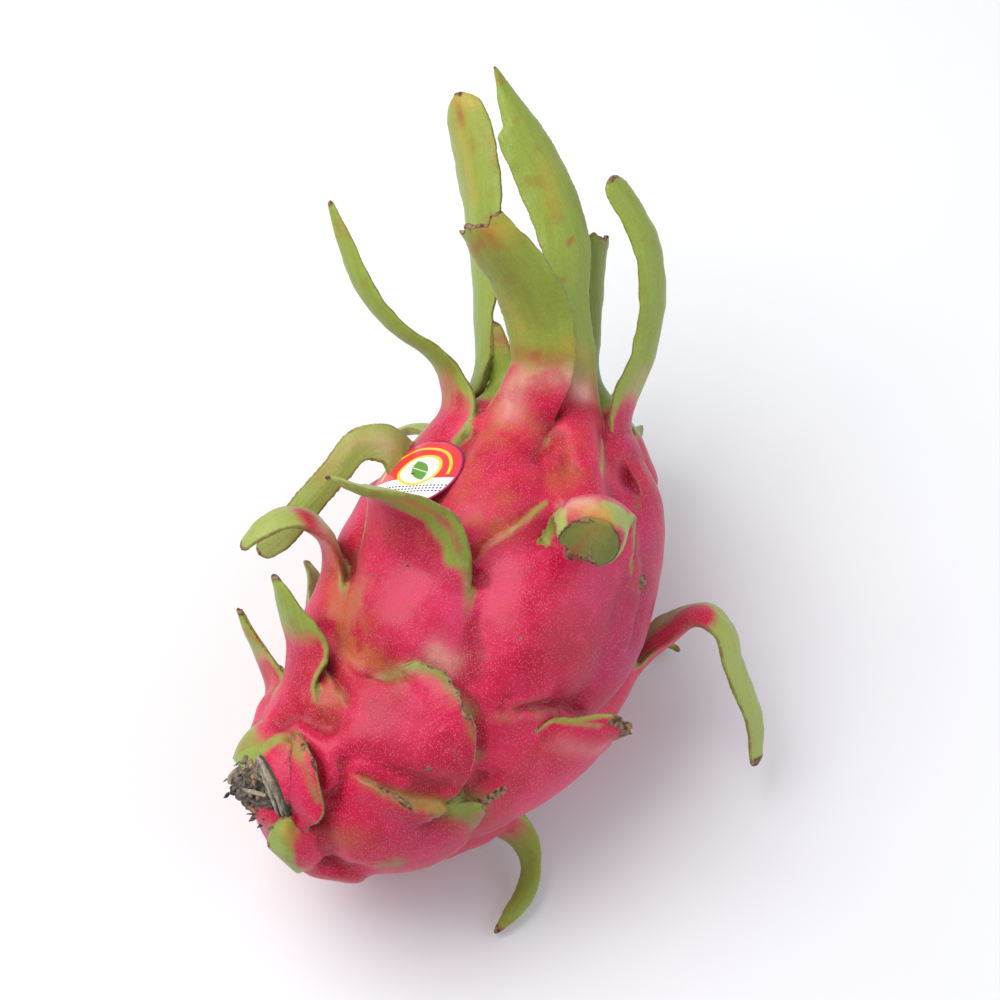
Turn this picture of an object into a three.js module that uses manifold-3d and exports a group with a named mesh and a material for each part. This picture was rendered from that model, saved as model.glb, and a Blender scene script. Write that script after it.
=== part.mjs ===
// A whole dragon fruit lying on its side: one peel grown with its overlapping scales, the dry stub
// of its stem, the dried flower in the navel of its crown, and a small round label on the skin.
// Millimetres, +Z up, +X from the stem end to the crown, standing on z = 0.
import * as THREE from "three";
import { mergeVertices } from "three/addons/utils/BufferGeometryUtils.js";
import Module from "manifold-3d";

// ---------------------------------------------------------------- driving dimensions
// The fruit grows round a bent axis. A place on it is [along, out, round]: millimetres along the
// axis from the stem end, millimetres out from it, and degrees round it from the top (+Z) towards -Y.
const AXIS_LENGTH = 150;
const AXIS_TURN = [-30, 33]; // heading in plan at the stem end and at the crown, degrees towards +Y
const AXIS_RISE = [-4, 15]; // heading above level at the same two places
const GIRTH = [[0, 12], [6, 19], [16, 25.5], [38, 35.4], [60, 41], [80, 43],
  [105, 41], [122, 35.5], [135, 28.5], [145, 20], [150, 14]]; // [along, radius over the pads]
const FLESH_BELOW_PADS = 4; // how far the peel between the scales lies under that girth

const PAD_BULGE = 1.2; // how far the middle of a scale's pad rises over the girth
const PAD_THICKNESS = 9;
const MOUTH = 0.62; // the share of a pad's width that is left where its blade peels off
const BLADE_ARC = 38; // half of the arc that a blade's cross-section bends through, degrees
const BLADE_BASE_THICKNESS = 4.6;
const BLADE_TIP_THICKNESS = 1.7;
const MARGIN_THICKNESS = 0.9;

const STEM = { along: 3.2, out: 10, round: -8, radius: 11.5 };
const NAVEL = { radius: 8.5, depth: 7 };
const FLOWER = { radius: 6.4, length: 9 };
const LABEL = { along: 105, round: -40, lift: 1.6, diameter: 30, thickness: 0.6 };
const TOUCH_GAP = 0.35; // left between two pieces that touch
const REST_FLAT_DEPTH = 0.8; // how much the lowest pad is flattened by the weight on it
const JOIN_TOLERANCE = 0.04; // shorter edges than this close up where solids are joined

const BODY_SIDES = 22;
const LONGEST_STEP = 16; // between two sections of a scale
const SHORTEST_STEP = 3.5;
const SHARPEST_TURN = 24; // of the midrib from one section to the next, degrees
const SECTION_POINTS = 6;

// Each scale: the foot and the peel-off point of its pad [along, round], the pad's width, the share
// of it that is left at the peel-off (its mouth), and the points that the midrib of its free blade
// passes [along, out, round, width]. A blade may turn its face by so many degrees on the way to its
// tip, and a cut or torn one ends square, so many millimetres thick.
const SCALES = [
  // the crown, from the top towards -Y, under the fruit and back
  { foot: [92, 34], peel: [128, 25], width: 34, turn: -10, blade: [[137, 31, 22, 18], [150, 35, 17, 14],
    [163, 37, 14, 13], [179, 39, 12, 17], [195, 41, 4, 18], [209, 44, -5.5, 15], [219, 46, -11.5, 8],
    [225, 48, -13.5, 2]] },
  { foot: [62, 82], peel: [120, 70], width: 38, mouth: 0.5, turn: -35, blade: [[136, 30, 55, 17],
    [153, 37, 53.5, 14], [168, 42.5, 48.5, 13], [179, 44.5, 42.5, 12], [196, 45, 26, 9]] },
  { foot: [122, 56], peel: [140, 53], width: 22, turn: -15, cut: 1.5, blade: [[149, 21, 46, 13],
    [160, 23.5, 40, 13], [176, 26.5, 37, 14], [186, 29.5, 35, 13]] },
  { foot: [96, 142], peel: [126, 142], width: 38, blade: [[136, 35, 142, 17], [143, 42, 143, 12],
    [148, 50, 147, 9], [148, 57, 151, 3]] },
  { foot: [84, 188], peel: [114, 188], width: 44, blade: [[124, 40, 188, 20], [137, 37, 187, 14],
    [150, 36, 185, 9], [160, 37, 183, 2]] },
  { foot: [96, 228], peel: [126, 230], width: 38, blade: [[136, 34, 230, 16], [143, 40, 231, 11],
    [144, 48, 233, 7], [140, 54, 235, 2]] },
  { foot: [112, 270], peel: [136, 280], width: 28, turn: 60, blade: [[148, 22, 301, 18], [167, 23, 311, 20],
    [190, 26, 318, 22], [210, 30, 320.5, 20], [227, 33, 319, 13]] },
  { foot: [124, -34], peel: [138, -32], width: 16, blade: [[146, 22, -30, 9], [154, 24, -29, 8],
    [162, 26, -30, 5]] },
  { foot: [84, -52], peel: [124, -51], width: 38, turn: 40, blade: [[136, 33, -46, 21], [144, 36, -45, 15],
    [150, 42, -45, 11], [155, 51, -48, 9], [165, 61, -50, 9], [176, 67, -50, 7], [188, 72, -50, 2]] },
  { foot: [76, -6], peel: [128, -8], width: 44, mouth: 0.5, cut: 1.5, blade: [[144, 40, -1, 20],
    [154, 46, -3, 22], [162, 54, -7, 21], [169, 61.5, -12, 19], [175, 67, -15, 16]] },
  // short ones round the navel, behind
  { foot: [122, 94], peel: [138, 94], width: 22, blade: [[146, 23, 96, 11], [152, 26, 97, 4]] },
  { foot: [122, 138], peel: [140, 140], width: 22, blade: [[148, 20, 142, 12], [160, 19, 141, 9],
    [171, 20, 140, 3]] },
  { foot: [120, 178], peel: [140, 180], width: 24, blade: [[149, 19, 180, 13], [160, 18, 182, 11],
    [172, 18, 184, 8], [181, 20, 186, 2]] },
  { foot: [122, 226], peel: [140, 226], width: 22, blade: [[148, 20, 226, 13], [160, 19, 228, 10],
    [169, 20, 230, 4]] },
  // the shoulder under the crown
  { foot: [38, -16], peel: [70, -20], width: 46, mouth: 0.85, blade: [[79, 52, -21, 32],
    [79, 61, -21, 20], [73, 70, -22, 9], [68, 79, -26, 2]] },
  { foot: [56, 38], peel: [96, 36], width: 50, mouth: 0.62, turn: -45, cut: 7, blade: [[101, 48, 31, 24],
    [103, 55, 27, 21], [101, 60, 25, 19], [96, 63, 25, 18], [90.5, 62, 27, 17]] },
  { foot: [62, 118], peel: [90, 114], width: 40, blade: [[98, 49, 104, 22], [102, 54, 99, 14],
    [101, 59, 98, 10], [96, 65, 100, 9], [90, 77, 107, 8], [85, 84, 112, 6]] },
  { foot: [60, 154], peel: [88, 152], width: 40, blade: [[97, 47, 149, 18], [102, 53, 145, 10],
    [104, 59, 139, 6], [103, 64, 133, 2]] },
  { foot: [48, 228], peel: [76, 228], width: 43, blade: [[86, 48, 228, 20], [92, 54, 229, 12],
    [94, 60, 226, 8], [92, 63, 222.5, 3]] },
  { foot: [66, -74], peel: [102, -68], width: 38, blade: [[112, 40, -61, 18], [116, 45, -57, 13],
    [112, 52, -57, 10], [101, 54, -60, 9], [81, 56, -70, 9], [70, 57, -77, 8], [60, 60, -83, 6]] },
  // the belly
  { foot: [14, 20], peel: [40, 26], width: 48, mouth: 0.82, cut: 1.5, blade: [[45, 40, 27.5, 29],
    [49, 42.5, 29, 15]] },
  { foot: [32, 74], peel: [57, 82], width: 44, mouth: 0.75, cut: 2.5, blade: [[64, 46, 78, 26],
    [68, 50, 76, 16], [71.5, 55, 77, 9]] },
  { foot: [28, 114], peel: [42, 120], width: 33, blade: [[48, 42, 127, 15], [49, 48, 128, 10],
    [47, 54, 128, 7], [44, 57, 128, 7], [39, 59, 128, 6], [34, 61, 129, 2]] },
  { foot: [20, 154], peel: [44, 154], width: 38, blade: [[53, 42, 151, 17], [59, 46, 148, 9],
    [63, 49, 145, 2]] },
  { foot: [40, 190], peel: [70, 188], width: 44, blade: [[81, 45, 187, 22], [90, 44, 186, 14],
    [98, 44, 185, 4]] },
  { foot: [12, 228], peel: [36, 228], width: 38, blade: [[44, 41, 228, 16], [50, 47, 229, 8],
    [53, 52, 230, 2]] },
  { foot: [26, 258], peel: [54, 262], width: 40, blade: [[62, 45, 264, 19], [68, 48, 266, 11],
    [73, 52, 267, 3]] },
  { foot: [36, -66], peel: [60, -61], width: 38, blade: [[69, 49, -59, 18], [68, 56, -57, 13],
    [63, 60, -56, 10], [53, 62, -57, 8], [42, 62, -60, 4]] },
  { foot: [6, -36], peel: [22, -38], width: 30, blade: [[29, 36, -40, 22], [33, 47, -41, 14],
    [35, 53, -41, 7], [37, 57, -42, 2]] },
  { foot: [2, -74], peel: [15, -75], width: 28, blade: [[20, 29, -78, 19], [24, 38, -75, 13],
    [25, 45, -71, 7], [27, 51, -68, 2]] },
  // round the stem
  { foot: [4, 70], peel: [23, 76], width: 36, mouth: 0.82, blade: [[30, 34.5, 76, 25],
    [34.5, 36.5, 73, 15], [40.5, 39.5, 69.5, 4]] },
  { foot: [-3, 4], peel: [4, 8], width: 28, mouth: 1, blade: [[7.5, 24, 8, 27], [11, 27.5, 9, 23],
    [13, 29, 10, 16]] },
  { foot: [0, 102], peel: [14, 106], width: 26, blade: [[16.5, 25.5, 104, 13], [18.5, 26, 101, 4]] },
  { foot: [4, 190], peel: [24, 190], width: 36, blade: [[32, 34, 190, 18], [40, 37, 190, 10],
    [46, 39, 190, 2]] },
  { foot: [4, 256], peel: [20, 256], width: 28, blade: [[27, 33, 256, 13], [32, 38, 257, 6],
    [34, 41, 258, 2]] },
  { foot: [18, 72], peel: [5, 70], width: 30, blade: [[0, 16.5, 68, 23],
    [-1.8, 12.5, 68, 18], [-3.2, 9, 70, 11]] },
  { foot: [20, -34], peel: [10, -34], width: 26, blade: [[5, 22.5, -36, 21], [1, 20.5, -46, 16],
    [-1.5, 17, -58, 8]] },
];

// ---------------------------------------------------------------- curves and the bent axis
const radians = THREE.MathUtils.degToRad;

/** Smooth curve through rows of numbers at rising knots, read at one place. */
function smoothThrough(knots, rows, at) {
  const last = knots.length - 1;
  let i = 0;
  while (i < last - 1 && knots[i + 1] <= at) i += 1;
  const gap = (k) => knots[k + 1] - knots[k];
  const slope = (k, c) => (rows[k + 1][c] - rows[k][c]) / gap(k);
  const tangent = (k, c) => {
    if (k === 0) return slope(0, c);
    if (k === last) return slope(last - 1, c);
    return (slope(k, c) * gap(k - 1) + slope(k - 1, c) * gap(k)) / (gap(k - 1) + gap(k));
  };
  const h = gap(i);
  const x = (at - knots[i]) / h;
  const [a, b] = [2 * x ** 3 - 3 * x ** 2 + 1, x ** 3 - 2 * x ** 2 + x];
  const [c, d] = [-2 * x ** 3 + 3 * x ** 2, x ** 3 - x ** 2];
  return rows[i].map((value, n) => a * value + b * h * tangent(i, n)
    + c * rows[i + 1][n] + d * h * tangent(i + 1, n));
}

const AXIS_STEPS = 300;

function headingAt(along) {
  const t = THREE.MathUtils.clamp(along / AXIS_LENGTH, 0, 1);
  const turn = radians(THREE.MathUtils.lerp(...AXIS_TURN, t));
  const rise = radians(THREE.MathUtils.lerp(...AXIS_RISE, t));
  return new THREE.Vector3(Math.cos(turn) * Math.cos(rise), Math.sin(turn) * Math.cos(rise),
    Math.sin(rise));
}

/** Points on the axis, one each AXIS_LENGTH / AXIS_STEPS, with the middle one at the origin. */
function layAxis() {
  const step = AXIS_LENGTH / AXIS_STEPS;
  const points = [new THREE.Vector3()];
  for (let i = 0; i < AXIS_STEPS; i += 1) {
    points.push(points[i].clone().addScaledVector(headingAt((i + 0.5) * step), step));
  }
  const middle = points[AXIS_STEPS / 2].clone();
  return points.map((p) => p.sub(middle));
}

const AXIS_POINTS = layAxis();

/** The axis at one place: its point, heading, and the directions to the top and to the -Y side. */
function axisAt(along) {
  const inside = THREE.MathUtils.clamp(along, 0, AXIS_LENGTH);
  const place = (inside / AXIS_LENGTH) * AXIS_STEPS;
  const i = Math.min(Math.floor(place), AXIS_STEPS - 1);
  const point = AXIS_POINTS[i].clone().lerp(AXIS_POINTS[i + 1], place - i);
  const heading = headingAt(inside);
  point.addScaledVector(heading, along - inside);
  const top = new THREE.Vector3(0, 0, 1).addScaledVector(heading, -heading.z).normalize();
  const side = new THREE.Vector3().crossVectors(heading, top);
  return { point, heading, top, side };
}

function outward(along, round) {
  const { top, side } = axisAt(along);
  return top.clone().multiplyScalar(Math.cos(radians(round)))
    .addScaledVector(side, Math.sin(radians(round)));
}

function placeAt(along, out, round) {
  return axisAt(along).point.addScaledVector(outward(along, round), out);
}

function girthAt(along) {
  const inside = THREE.MathUtils.clamp(along, GIRTH[0][0], GIRTH.at(-1)[0]);
  return smoothThrough(GIRTH.map((row) => row[0]), GIRTH, inside)[1];
}

// ---------------------------------------------------------------- solids
const wasm = await Module();
wasm.setup();

function solidOf(vertices, triangles) {
  return new wasm.Manifold(new wasm.Mesh({
    numProp: 3,
    vertProperties: Float32Array.from(vertices),
    triVerts: Uint32Array.from(triangles),
    tolerance: JOIN_TOLERANCE,
  }));
}

function solidOfGeometry(geometry) {
  geometry.deleteAttribute("normal");
  geometry.deleteAttribute("uv");
  const merged = mergeVertices(geometry, 1e-4);
  return solidOf(merged.attributes.position.array, merged.index.array);
}

/** The faces of a solid as a geometry, the largest first. */
function geometryOfSolid(solid) {
  const { vertProperties, triVerts } = solid.getMesh();
  const corner = (k) => new THREE.Vector3().fromArray(vertProperties, 3 * triVerts[k]);
  const faces = Array.from({ length: triVerts.length / 3 }, (_, i) => ({
    corners: triVerts.slice(3 * i, 3 * i + 3),
    area: new THREE.Triangle(corner(3 * i), corner(3 * i + 1), corner(3 * i + 2)).getArea(),
  }));
  faces.sort((a, b) => b.area - a.area);
  const geometry = new THREE.BufferGeometry();
  geometry.setAttribute("position", new THREE.BufferAttribute(vertProperties, 3));
  geometry.setIndex(faces.flatMap(({ corners }) => [...corners]));
  return geometry;
}

/** A closed solid through rings of points that all have the same count, capped by strip or by fan. */
function loftSolid(rings, capByStrip) {
  const count = rings[0].length;
  const vertices = rings.flat().flatMap((p) => p.toArray());
  const triangles = [];
  for (let r = 0; r < rings.length - 1; r += 1) {
    for (let j = 0; j < count; j += 1) {
      const a = r * count + j;
      const b = r * count + ((j + 1) % count);
      triangles.push(a, a + count, b, b, a + count, b + count);
    }
  }
  const top = (rings.length - 1) * count;
  const cap = (a, b, c) => {
    triangles.push(a, b, c);
    triangles.push(top + a, top + c, top + b);
  };
  if (capByStrip) {
    for (let j = 0; j < count / 2 - 1; j += 1) {
      const k = count - 1 - j;
      cap(j, j + 1, k);
      cap(j + 1, k - 1, k);
    }
  } else {
    for (let j = 1; j < count - 1; j += 1) cap(0, j, j + 1);
  }
  return solidOf(vertices, triangles);
}

/** Rings round a straight line: rows of [distance along it, radius], with an uneven rim if asked. */
function turnedSolid(origin, direction, rows, sides, unevenness = 0) {
  const u = new THREE.Vector3().crossVectors(direction, new THREE.Vector3(0, 0, 1)).normalize();
  const v = new THREE.Vector3().crossVectors(direction, u);
  const rings = rows.map(([distance, radius], r) => Array.from({ length: sides }, (_, j) => {
    const turn = (2 * Math.PI * j) / sides;
    const wobble = 1 + unevenness * Math.sin(3 * turn + r) + unevenness * Math.sin(5 * turn + 2 * r);
    return origin.clone().addScaledVector(direction, distance)
      .addScaledVector(u, radius * wobble * Math.cos(turn))
      .addScaledVector(v, radius * wobble * Math.sin(turn));
  }));
  return loftSolid(rings, false);
}

// ---------------------------------------------------------------- the peel
/** The skin between the scales, as rings round the bent axis. */
function fleshSolid() {
  const stations = [0, 5, 11, 20, 32, 46, 62, 80, 97, 112, 124, 134, 142, 150];
  const rings = stations.map((along) => Array.from({ length: BODY_SIDES }, (_, j) => (
    placeAt(along, girthAt(along) - FLESH_BELOW_PADS, (-360 * j) / BODY_SIDES))));
  return loftSolid(rings, false);
}

/** How a pad grows: [share of its length, height over the girth, share of its width, thickness, arc]. */
const PAD_ROWS = [
  [0, -FLESH_BELOW_PADS - 0.5, 0.45, PAD_THICKNESS - 2, 55],
  [0.35, PAD_BULGE * 0.75, 0.95, PAD_THICKNESS, 58],
  [0.7, PAD_BULGE, 0.96, PAD_THICKNESS, 54],
  [1, PAD_BULGE * 1.6, MOUTH, PAD_THICKNESS - 3, 42],
];

/** Rows [x, y, z, width, arc, thickness] that a scale's midrib passes, from its foot to its tip. */
function midribRows({ foot, peel, width, mouth = MOUTH, blade, cut = BLADE_TIP_THICKNESS }) {
  const pad = PAD_ROWS.map(([share, height, wide, thick, arc]) => {
    const along = THREE.MathUtils.lerp(foot[0], peel[0], share);
    const round = THREE.MathUtils.lerp(foot[1], peel[1], share);
    const point = placeAt(along, girthAt(along) + height, round);
    return [...point.toArray(), width * (share < 1 ? wide : mouth), arc, thick];
  });
  const free = blade.map(([along, out, round, wide], i) => {
    const thick = THREE.MathUtils.lerp(BLADE_BASE_THICKNESS, cut, i / (blade.length - 1));
    return [...placeAt(along, out, round).toArray(), wide, BLADE_ARC, thick];
  });
  return [...pad, ...free];
}

/** Where sections go along a midrib: far apart where it is straight, close where it bends. */
function stationsAlong(headingOf, length) {
  const stations = [0];
  let heading = headingOf(0);
  for (let s = SHORTEST_STEP; s < length - SHORTEST_STEP / 2; s += 1) {
    const step = s - stations.at(-1);
    const bent = headingOf(s).angleTo(heading) > radians(SHARPEST_TURN);
    if (step >= LONGEST_STEP || (step >= SHORTEST_STEP && bent)) {
      stations.push(s);
      heading = headingOf(s);
    }
  }
  return [...stations, length];
}

/** One scale: crescent sections along its midrib, thick in the pad and thin at the margins. */
function scaleSolid(scale) {
  const rows = midribRows(scale);
  const points = rows.map((row) => new THREE.Vector3(...row));
  const knots = [0];
  for (let i = 1; i < rows.length; i += 1) knots.push(knots[i - 1] + points[i].distanceTo(points[i - 1]));
  const length = knots.at(-1);
  const tipRadius = scale.cut ? 0 : rows.at(-1)[3] / 2;
  const pointAt = (s) => new THREE.Vector3(...smoothThrough(knots, rows, s));
  const headingOf = (s) => (
    pointAt(Math.min(s + 0.5, length)).sub(pointAt(Math.max(s - 0.5, 0))).normalize());
  const stations = stationsAlong(headingOf, length - tipRadius);
  if (tipRadius > 0) stations.push(length - tipRadius * 0.4, length);
  const peelOff = knots[PAD_ROWS.length - 1];

  const normal = outward(...scale.foot);
  const rings = stations.map((s) => {
    const [, , , width, arc, thickness] = smoothThrough(knots, rows, s);
    const here = pointAt(s);
    const heading = headingOf(s);
    normal.addScaledVector(heading, -normal.dot(heading)).normalize();
    const turned = radians(scale.turn ?? 0) * Math.max(0, (s - peelOff) / (length - peelOff));
    const face = normal.clone().applyAxisAngle(heading, turned);
    const across = new THREE.Vector3().crossVectors(face, heading);
    const roundOff = tipRadius > 0 ? Math.max(0, 1 - (length - s) / tipRadius) : 0;
    const half = (width / 2) * Math.sqrt(Math.max(0.06, 1 - roundOff ** 2));
    const bend = radians(arc);
    const outer = [];
    const inner = [];
    for (let j = 0; j < SECTION_POINTS; j += 1) {
      const share = Math.sin(Math.PI * (j / (SECTION_POINTS - 1) - 0.5));
      const [sin, cos] = [Math.sin(bend * share), Math.cos(bend * share)];
      const body = Math.max(thickness - MARGIN_THICKNESS, 0) * (1 - Math.abs(share) ** 2.2);
      const deep = Math.min(MARGIN_THICKNESS + body, Math.max(half * 1.4, MARGIN_THICKNESS));
      const x = (half * sin) / bend;
      const y = (-half * (1 - cos)) / bend;
      const at = (dx, dy) => here.clone().addScaledVector(across, dx).addScaledVector(face, dy);
      outer.push(at(x, y));
      inner.push(at(x - sin * deep, y - cos * deep));
    }
    return [...outer, ...inner.reverse()];
  });
  return loftSolid(rings, true);
}

const stemAxis = headingAt(0);
const stemFoot = placeAt(STEM.along, STEM.out, STEM.round);
const stemRows = [[4.5, 0.75], [2, 0.95], [0, 1], [-3, 0.82], [-6, 0.58], [-8.5, 0.3]];

function stemSolid(extra) {
  const rows = stemRows.map(([distance, share]) => [distance, STEM.radius * share + extra]);
  if (extra > 0) {
    rows[0][0] += extra;
    rows.at(-1)[0] -= extra;
  }
  return turnedSolid(stemFoot, stemAxis, rows, 14, 0.035);
}

/** The collar of peel that the stem grew from. */
function shoulderSolid() {
  const rows = [[20, 14], [12, 15.5], [6, 14.5], [2.5, 13.4], [0.5, 12.6]];
  return turnedSolid(stemFoot, stemAxis, rows, 18);
}

const crownAxis = headingAt(AXIS_LENGTH);
const navelFloor = placeAt(AXIS_LENGTH - NAVEL.depth, 0, 0);

function navelSolid() {
  const rows = [[30, NAVEL.radius], [3, NAVEL.radius], [0, NAVEL.radius * 0.8]];
  return turnedSolid(navelFloor, crownAxis, rows, 16);
}

function flowerSolid() {
  const shares = [[1, 0.45], [0.75, 0.62], [0.35, 0.8], [0.12, 1], [0, 0.85]];
  const rows = shares.map(([high, wide]) => [TOUCH_GAP + high * FLOWER.length, wide * FLOWER.radius]);
  return turnedSolid(navelFloor, crownAxis, rows, 12, 0.05);
}

/** The label: a thin round plate bent with the girth, or the room that it takes. */
function labelSolid(extra, height) {
  const rim = 20;
  const across = LABEL.diameter / 2 + extra;
  const circles = [1, 0.6, 0.2];
  const low = LABEL.lift - extra;
  const ring = (share, lift) => Array.from({ length: rim }, (_, j) => {
    const turn = (2 * Math.PI * j) / rim;
    const along = LABEL.along + across * share * Math.cos(turn);
    const out = girthAt(along) + lift;
    const degrees = THREE.MathUtils.radToDeg((across * share * Math.sin(turn)) / out);
    return placeAt(along, out, LABEL.round + degrees);
  });
  const under = circles.toReversed().map((share) => ring(share, low));
  const over = circles.map((share) => ring(share, low + height));
  return loftSolid([...under, ...over], false);
}

/** A block that is everything below one height. */
function groundSolid(height) {
  const size = 600;
  const block = new THREE.BoxGeometry(size, size, size);
  block.translate(0, 0, height - size / 2);
  return solidOfGeometry(block);
}

let peel = fleshSolid().add(shoulderSolid());
for (const scale of SCALES) peel = peel.add(scaleSolid(scale));
peel = peel.subtract(stemSolid(TOUCH_GAP));
peel = peel.subtract(navelSolid());
peel = peel.subtract(labelSolid(TOUCH_GAP, 8));
const tableHeight = peel.boundingBox().min[2] + REST_FLAT_DEPTH;
peel = peel.subtract(groundSolid(tableHeight));
peel = peel.decompose().sort((a, b) => b.volume() - a.volume())[0];

// ---------------------------------------------------------------- the assembly
function piece(name, solid, color, roughness) {
  const material = new THREE.MeshStandardMaterial({ color, roughness, metalness: 0 });
  const mesh = new THREE.Mesh(geometryOfSolid(solid), material);
  mesh.name = name;
  return mesh;
}

const fruit = new THREE.Group();
fruit.add(piece("fruit", peel, 0xcd3b62, 0.42));
fruit.add(piece("stem_stub", stemSolid(0), 0x7d6a5a, 0.9));
fruit.add(piece("flower_scar", flowerSolid(), 0x5e4a36, 0.9));
fruit.add(piece("sticker", labelSolid(0, LABEL.thickness), 0xe0393f, 0.35));

const box = new THREE.Box3().setFromObject(fruit);
const middle = box.getCenter(new THREE.Vector3());
fruit.position.set(-middle.x, -middle.y, -box.min.z);

export default fruit;
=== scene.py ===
"""A whole dragon fruit lying on its side: the peel with its overlapping scales, the dry stub of the
stem, the dried flower in the navel of the crown, and a small round label stuck to the skin."""

import math

import bpy
import numpy as np
from mathutils import Matrix, Vector, noise
from mathutils.bvhtree import BVHTree


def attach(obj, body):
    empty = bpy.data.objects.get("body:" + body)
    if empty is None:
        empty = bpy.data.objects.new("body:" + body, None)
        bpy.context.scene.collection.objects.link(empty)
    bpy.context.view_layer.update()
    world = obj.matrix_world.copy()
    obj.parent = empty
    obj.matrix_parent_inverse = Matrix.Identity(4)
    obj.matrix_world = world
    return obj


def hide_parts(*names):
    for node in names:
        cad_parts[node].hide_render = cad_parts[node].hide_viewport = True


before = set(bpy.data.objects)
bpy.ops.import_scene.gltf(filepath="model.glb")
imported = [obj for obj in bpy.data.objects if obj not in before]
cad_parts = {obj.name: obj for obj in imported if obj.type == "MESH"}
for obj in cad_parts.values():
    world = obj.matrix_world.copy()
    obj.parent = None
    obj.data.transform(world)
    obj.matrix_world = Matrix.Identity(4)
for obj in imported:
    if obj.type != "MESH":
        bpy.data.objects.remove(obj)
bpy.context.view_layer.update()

MM = 0.001

# ---------------------------------------------------------------- driving dimensions, millimetres
# The fruit grows round a bent axis. A place on it is (along, out, round): millimetres along the
# axis from the stem end, millimetres out from it, and degrees round it from the top towards -Y.
AXIS_MIDDLE = (-18.34, -1.72, 43.76)  # where the middle of the axis stands
AXIS_LENGTH = 150
AXIS_TURN = (-30, 33)
AXIS_RISE = (-4, 15)
GIRTH = [(0, 12), (6, 19), (16, 25.5), (38, 35.4), (60, 41), (80, 43), (105, 41), (122, 35.5),
         (135, 28.5), (145, 20), (150, 14)]
FLESH_BELOW_PADS = 4

PAD_BULGE = 1.2
PAD_THICKNESS = 9
MOUTH = 0.62
BLADE_ARC = 38
BLADE_BASE_THICKNESS = 4.6
BLADE_TIP_THICKNESS = 1.7
MARGIN_THICKNESS = 0.9

STEM_PLACE = (3.2, 10, -8)
STEM_RADIUS = 11.5
NAVEL_RADIUS, NAVEL_DEPTH = 8.5, 7
FLOWER_RADIUS, FLOWER_LENGTH = 6.4, 9
LABEL_PLACE = (105, -40)
LABEL_DIAMETER = 30
LABEL_TURN = 9  # of the print, degrees

SECTION_STEP = 0.9
SECTION_POINTS = 33
VALLEY = 6  # hollows between pads narrower than twice this fill up softly
PEEL_TRIANGLES = 190000

CAMERA_TURN = (-58, 60)  # degrees round from -Y, and up
CAMERA_AIM = (7.95, 37.1)  # right and up from the axis's middle
CAMERA_DISTANCE = 850
VIEW_WIDTH = 265

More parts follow.
